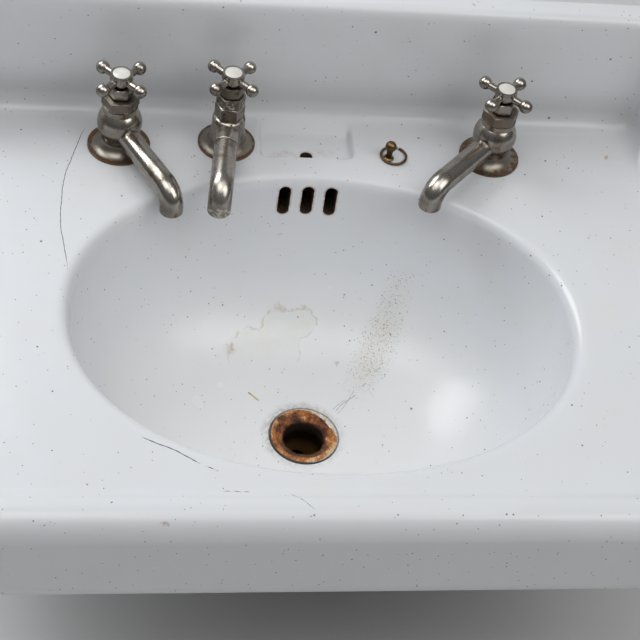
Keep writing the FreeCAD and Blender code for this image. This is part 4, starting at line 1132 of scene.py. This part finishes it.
@dataclass(frozen=True)
class RustFinish:
    """Flaking rust: dark brown hollows, orange faces and pale tan crests, with painted shade near black down
    the bore and dark brown at its front, which is glossier.
    """

    middle: float = DRAIN_Y * MM
    dark: Triple = (0.060, 0.020, 0.008)
    brown: Triple = (0.20, 0.062, 0.016)
    orange: Triple = (0.43, 0.145, 0.030)
    tan: Triple = (0.70, 0.45, 0.22)
    # Painted shade: near black down the bore
    bore: Triple = (0.018, 0.009, 0.005)
    # Painted shade: dark brown at the front of the bore, where the hole is
    front_hole_shade: Triple = (0.055, 0.028, 0.012)

    def make(self) -> Material:
        """Builds the material."""
        paint = Paint("rust_flaking", self.dark)
        moved = paint.shifted(0.002, 0.003)
        broad = paint.noise(0.0085, 4.0, 0.65, moved)
        fine = paint.noise(0.0020, 4.0, 0.7, moved, offset=2.0)
        mixed = paint.plus(paint.times(broad, 0.6), paint.times(fine, 0.4))
        out = paint.from_axis(self.middle, moved)
        patchy = paint.minus(paint.noise(0.016, 2.0, 0.5, offset=13.0), 0.5)
        lifted = paint.plus(mixed, paint.times(paint.step(out, 0.0215, 0.0285), 0.09),
                            paint.times(patchy, 0.65),
                            paint.times(paint.step(paint.z, -0.1608, -0.1650), -0.14))
        for tint, low in ((self.brown, 0.38), (self.orange, 0.45), (self.tan, 0.55)):
            paint.lay(tint, paint.step(lifted, low, low + 0.06))
        # Painted shade: near black deeper down the bore
        deep = paint.step(paint.plus(paint.z, paint.times(broad, 0.003)), -0.1612, -0.1640)
        paint.lay(self.bore, deep, 0.93)
        # Painted shade at the front of the bore, which is also made glossier
        near = paint.step(paint.along((0.0, self.middle, 0.0), (-0.14, -0.99, 0.0)), 0.003, 0.013)
        front_shade_mask = paint.times(near, paint.step(out, 0.0246, 0.0228))
        paint.lay(self.front_hole_shade, front_shade_mask, 0.86)
        sheen = paint.most(front_shade_mask, paint.clouds(0.4, 0.7, 0.005, offset=6.0))
        normal = paint.bumps((mixed, 0.0016), (paint.noise(0.0011, 4.0, 0.7, offset=4.0), 0.0003))
        return paint.done(Roughness=paint.minus(0.72, paint.times(sheen, 0.3)), Normal=normal)


class Finishes:
    """Every finish by the record's slot, and the nodes whose finish differs from their slot's."""

    def __init__(self) -> None:
        """Builds the materials once each."""
        slots = {
            "enamel": Enamel(),
            "worn_plating": MetalFinish("nickel_worn", Metal.NICKEL),
            "brass": MetalFinish("brass_dull", Metal.BRASS, tarnish=0.7, grime=0.5, rough=0.35),
            "copper_pipe": MetalFinish("copper_dull", Metal.COPPER, tarnish=0.6, grime=0.4, rough=0.32),
            "bronze": MetalFinish("bronze_brown", Metal.BRONZE, tarnish=0.5, grime=0.35, rough=0.3,
                                  patch=0.004),
            "rusted_waste": WasteFinish(),
            "putty": PlainFinish("putty_set", (0.60, 0.56, 0.47), (0.42, 0.38, 0.31), 0.8),
            "rubber": PlainFinish("rubber_black", (0.035, 0.035, 0.037), (0.015, 0.015, 0.016), 0.62),
            "packing": PlainFinish("packing_yarn", (0.36, 0.30, 0.20), (0.20, 0.15, 0.09), 0.75, patch=0.002),
            "china": PlainFinish("china_glazed", (0.80, 0.79, 0.74), (0.72, 0.70, 0.63), 0.28, coat=0.6),
            "cast_iron": PlainFinish("iron_black", (0.075, 0.068, 0.063), (0.030, 0.026, 0.024), 0.6,
                                     grain=0.0025, depth=0.0004),
            "steel": MetalFinish("zinc_dull", Metal.ZINC, tarnish=0.6, grime=0.5, rough=0.38),
            "lead_pipe": MetalFinish("tube_brass", Metal.BRASS, tarnish=0.8, grime=0.4, rough=0.36)}
        self.by_slot = {slot: finish.make() for slot, finish in slots.items()}
        self.rust = PlainFinish("rust_lining", (0.070, 0.036, 0.018), (0.018, 0.010, 0.007), 0.85,
                                patch=0.004, grain=0.0012, depth=0.0005).make()
        self.crack, self.scuff, self.yellow = (
            PlainFinish(name, light, dark, rough, patch=0.003).make() for name, light, dark, rough in (
                ("crack_dark", (0.13, 0.115, 0.10), (0.06, 0.05, 0.045), 0.8),
                ("scuff_tan", (0.42, 0.36, 0.28), (0.24, 0.18, 0.12), 0.7),
                ("scuff_yellow", (0.70, 0.60, 0.34), (0.52, 0.40, 0.19), 0.6)))
        self.flaking = RustFinish().make()
        self.by_node: dict[str, Material] = {}
        for nodes, finish in self.worn_nodes():
            self.by_node.update(dict.fromkeys(nodes, finish.make()))

    def worn_nodes(self) -> tuple[tuple[tuple[str, ...], MetalFinish], ...]:
        """The nodes with their own wear, and the finish of each."""
        down, up = (0.0, 0.0, -1.0), (0.0, 0.0, 1.0)
        back_up, front_down = (0.0, 0.6, 0.8), (0.0, -0.6, -0.8)
        lime, grime, coppery = Deposit.LIME, Deposit.GRIME, Deposit.COPPERY
        nickel, browned = Metal.NICKEL, Metal.BROWNED
        return (
            (("left_tap_flange",), MetalFinish("flange_browned", browned, 0.30, 0.38, 0.33, (
                Layer(grime, up, 0.0026, 0.0060, 0.42), Layer(coppery, down, -0.0026, -0.0016, 1.0)))),
            (("right_tap_flange",), MetalFinish("flange_coppered", browned, 0.6, 0.42, 0.36, (
                Layer(coppery, down, -0.0075, -0.0016, 0.80),))),
            (("middle_tap_flange",), MetalFinish("flange_limed", browned, 0.25, 0.35, 0.40, (
                Layer(grime, up, 0.0026, 0.0100, 0.40), Layer(lime, up, 0.0020, 0.0080, 0.36),
                Layer(coppery, down, -0.0030, -0.0018, 0.95)))),
            (("middle_tap_body",), MetalFinish("nickel_middle", nickel, 0.5, 0.30, 0.27, (
                Layer(grime, back_up, -0.0330, -0.0240, 0.60), Layer(lime, back_up, -0.0230, -0.0130, 0.52),
                Layer(lime, front_down, 0.0800, 0.0900, 0.72)))),
            (("middle_tap_bonnet", "middle_tap_gland_nut"), MetalFinish(
                "nickel_crusted", browned, 0.7, 0.60, 0.38, (Layer(lime, down, -0.0900, -0.0480, 0.66),))),
            (("left_tap_bonnet",), MetalFinish("nickel_scaled", browned, 0.4, 0.45, 0.36, (
                Layer(lime, down, -0.0580, -0.0470, 0.60),))),
            (("right_tap_bonnet",), MetalFinish("nickel_browned", browned, 0.75, 0.5, 0.34, (
                Layer(coppery, down, -0.0570, -0.0470, 0.62),))))

    def dress(self, frame: dict) -> None:
        """Gives every CAD node that still shows its finish."""
        slots = {entry["node"]: entry["material_slot"] for entry in frame["record"]["subparts"]}
        for name, node in frame["nodes"].items():
            finish = self.by_node.get(name, self.by_slot[slots[name]])
            for slot in node.material_slots:
                slot.link = "OBJECT"
                slot.material = finish
            if not node.material_slots:
                node.data.materials.append(finish)


# The studio

@dataclass(frozen=True)
class Lamp:
    """A soft square light that looks at the middle of the basin."""

    name: str
    place: Triple
    power: float
    colour: Triple = (1.0, 1.0, 1.0)
    size: float = 1.0
    target: Triple = (0.0, -0.26, 0.0)

    def build(self) -> None:
        """Adds the light."""
        data = bpy.data.lights.new(self.name, "AREA")
        data.shape = "SQUARE"
        data.size = self.size
        data.energy = self.power
        data.color = self.colour
        lamp = linked(self.name, data)
        lamp.location = self.place
        way = Vector(self.target) - Vector(self.place)
        lamp.rotation_euler = way.to_track_quat("-Z", "Y").to_euler()


@dataclass(frozen=True)
class Studio:
    """Camera, lights, floor and surroundings."""

    eye: Triple = (-0.1971, -1.0899, 0.9105)
    yaw: float = 13.122
    down: float = 47.336
    roll: float = 10.694
    focal: float = 87.56
    film: float = 36.0
    floor: float = -310.5
    floor_half: float = 6000.0
    room_low: Triple = (0.30, 0.31, 0.33)
    room_high: Triple = (0.78, 0.80, 0.84)
    room_light: float = 0.22
    lamps: tuple[Lamp, ...] = (
        Lamp("back_left", (-0.92, 0.66, 1.02), 15.6, (0.97, 0.985, 1.0)),
        Lamp("front_left", (-0.66, -0.54, 1.54), 5.3),
        Lamp("front_right", (1.00, -0.91, 1.20), 6.9, (1.0, 0.99, 0.97)),
        Lamp("above", (0.10, -0.60, 1.30), 3.8))

    def build(self) -> None:
        """Adds everything that isn't the basin."""
        self.camera()
        self.world()
        self.stand()
        for lamp in self.lamps:
            lamp.build()

    def camera(self) -> None:
        """Places the camera where the photograph was taken from."""
        yaw, down, roll = map(math.radians, (self.yaw, self.down, self.roll))
        forward = Vector((math.sin(yaw) * math.cos(down), math.cos(yaw) * math.cos(down), -math.sin(down)))
        level = Vector((math.cos(yaw), -math.sin(yaw), 0.0))
        above = level.cross(forward)
        right = level * math.cos(roll) + above * math.sin(roll)
        up = -level * math.sin(roll) + above * math.cos(roll)
        data = bpy.data.cameras.new("photo_camera")
        data.lens = self.focal
        data.sensor_width = self.film
        data.clip_start = 0.05
        camera = linked("photo_camera", data)
        turn = Matrix((right, up, -forward)).transposed()
        camera.matrix_world = Matrix.Translation(self.eye) @ turn.to_4x4()
        bpy.context.scene.camera = camera

    def world(self) -> None:
        """A pale room all round, a little brighter above."""
        scene = bpy.context.scene
        scene.world = bpy.data.worlds.new("room")
        scene.world.use_nodes = True
        tree = scene.world.node_tree
        place, split, half, ramp = (tree.nodes.new("ShaderNode" + kind) for kind in (
            "TexCoord", "SeparateXYZ", "MapRange", "ValToRGB"))
        background = tree.nodes["Background"]
        half.inputs["From Min"].default_value = -1.0
        for element, position, colour in zip(ramp.color_ramp.elements, (0.40, 0.95),
                                             (self.room_low, self.room_high)):
            element.position = position
            element.color = (*colour, 1.0)
        for start, end in ((place.outputs["Generated"], split.inputs[0]),
                           (split.outputs[2], half.inputs["Value"]), (half.outputs[0], ramp.inputs[0]),
                           (ramp.outputs[0], background.inputs[0])):
            tree.links.new(start, end)
        background.inputs[1].default_value = self.room_light
        scene.view_settings.view_transform = "Standard"

    def stand(self) -> None:
        """A plain pale floor."""
        ends = [-self.floor_half, self.floor_half]
        points = np.stack(np.meshgrid(ends, ends[::-1], [self.floor], indexing="ij"), -1)
        floor = grid_object("floor", points.reshape(2, 2, 3), wrap_columns=False)
        paint = Paint("floor_pale", (0.84, 0.84, 0.835))
        paint.lay((0.88, 0.88, 0.875), paint.noise(0.25, 3.0))
        floor.data.materials.append(paint.done(Roughness=0.7))


def main() -> None:
    """Builds the pieces in order."""
    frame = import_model()
    Studio().build()
    finishes = Finishes()
    finishes.dress(frame)
    casting = Basin().build(finishes)
    WasteCrust().build(finishes.flaking)
    Marks().build(casting, finishes)
    LOG.info("built with %d frame nodes", len(frame["nodes"]))


if __name__ == "__main__":
    logging.basicConfig(level=logging.INFO)
    main()
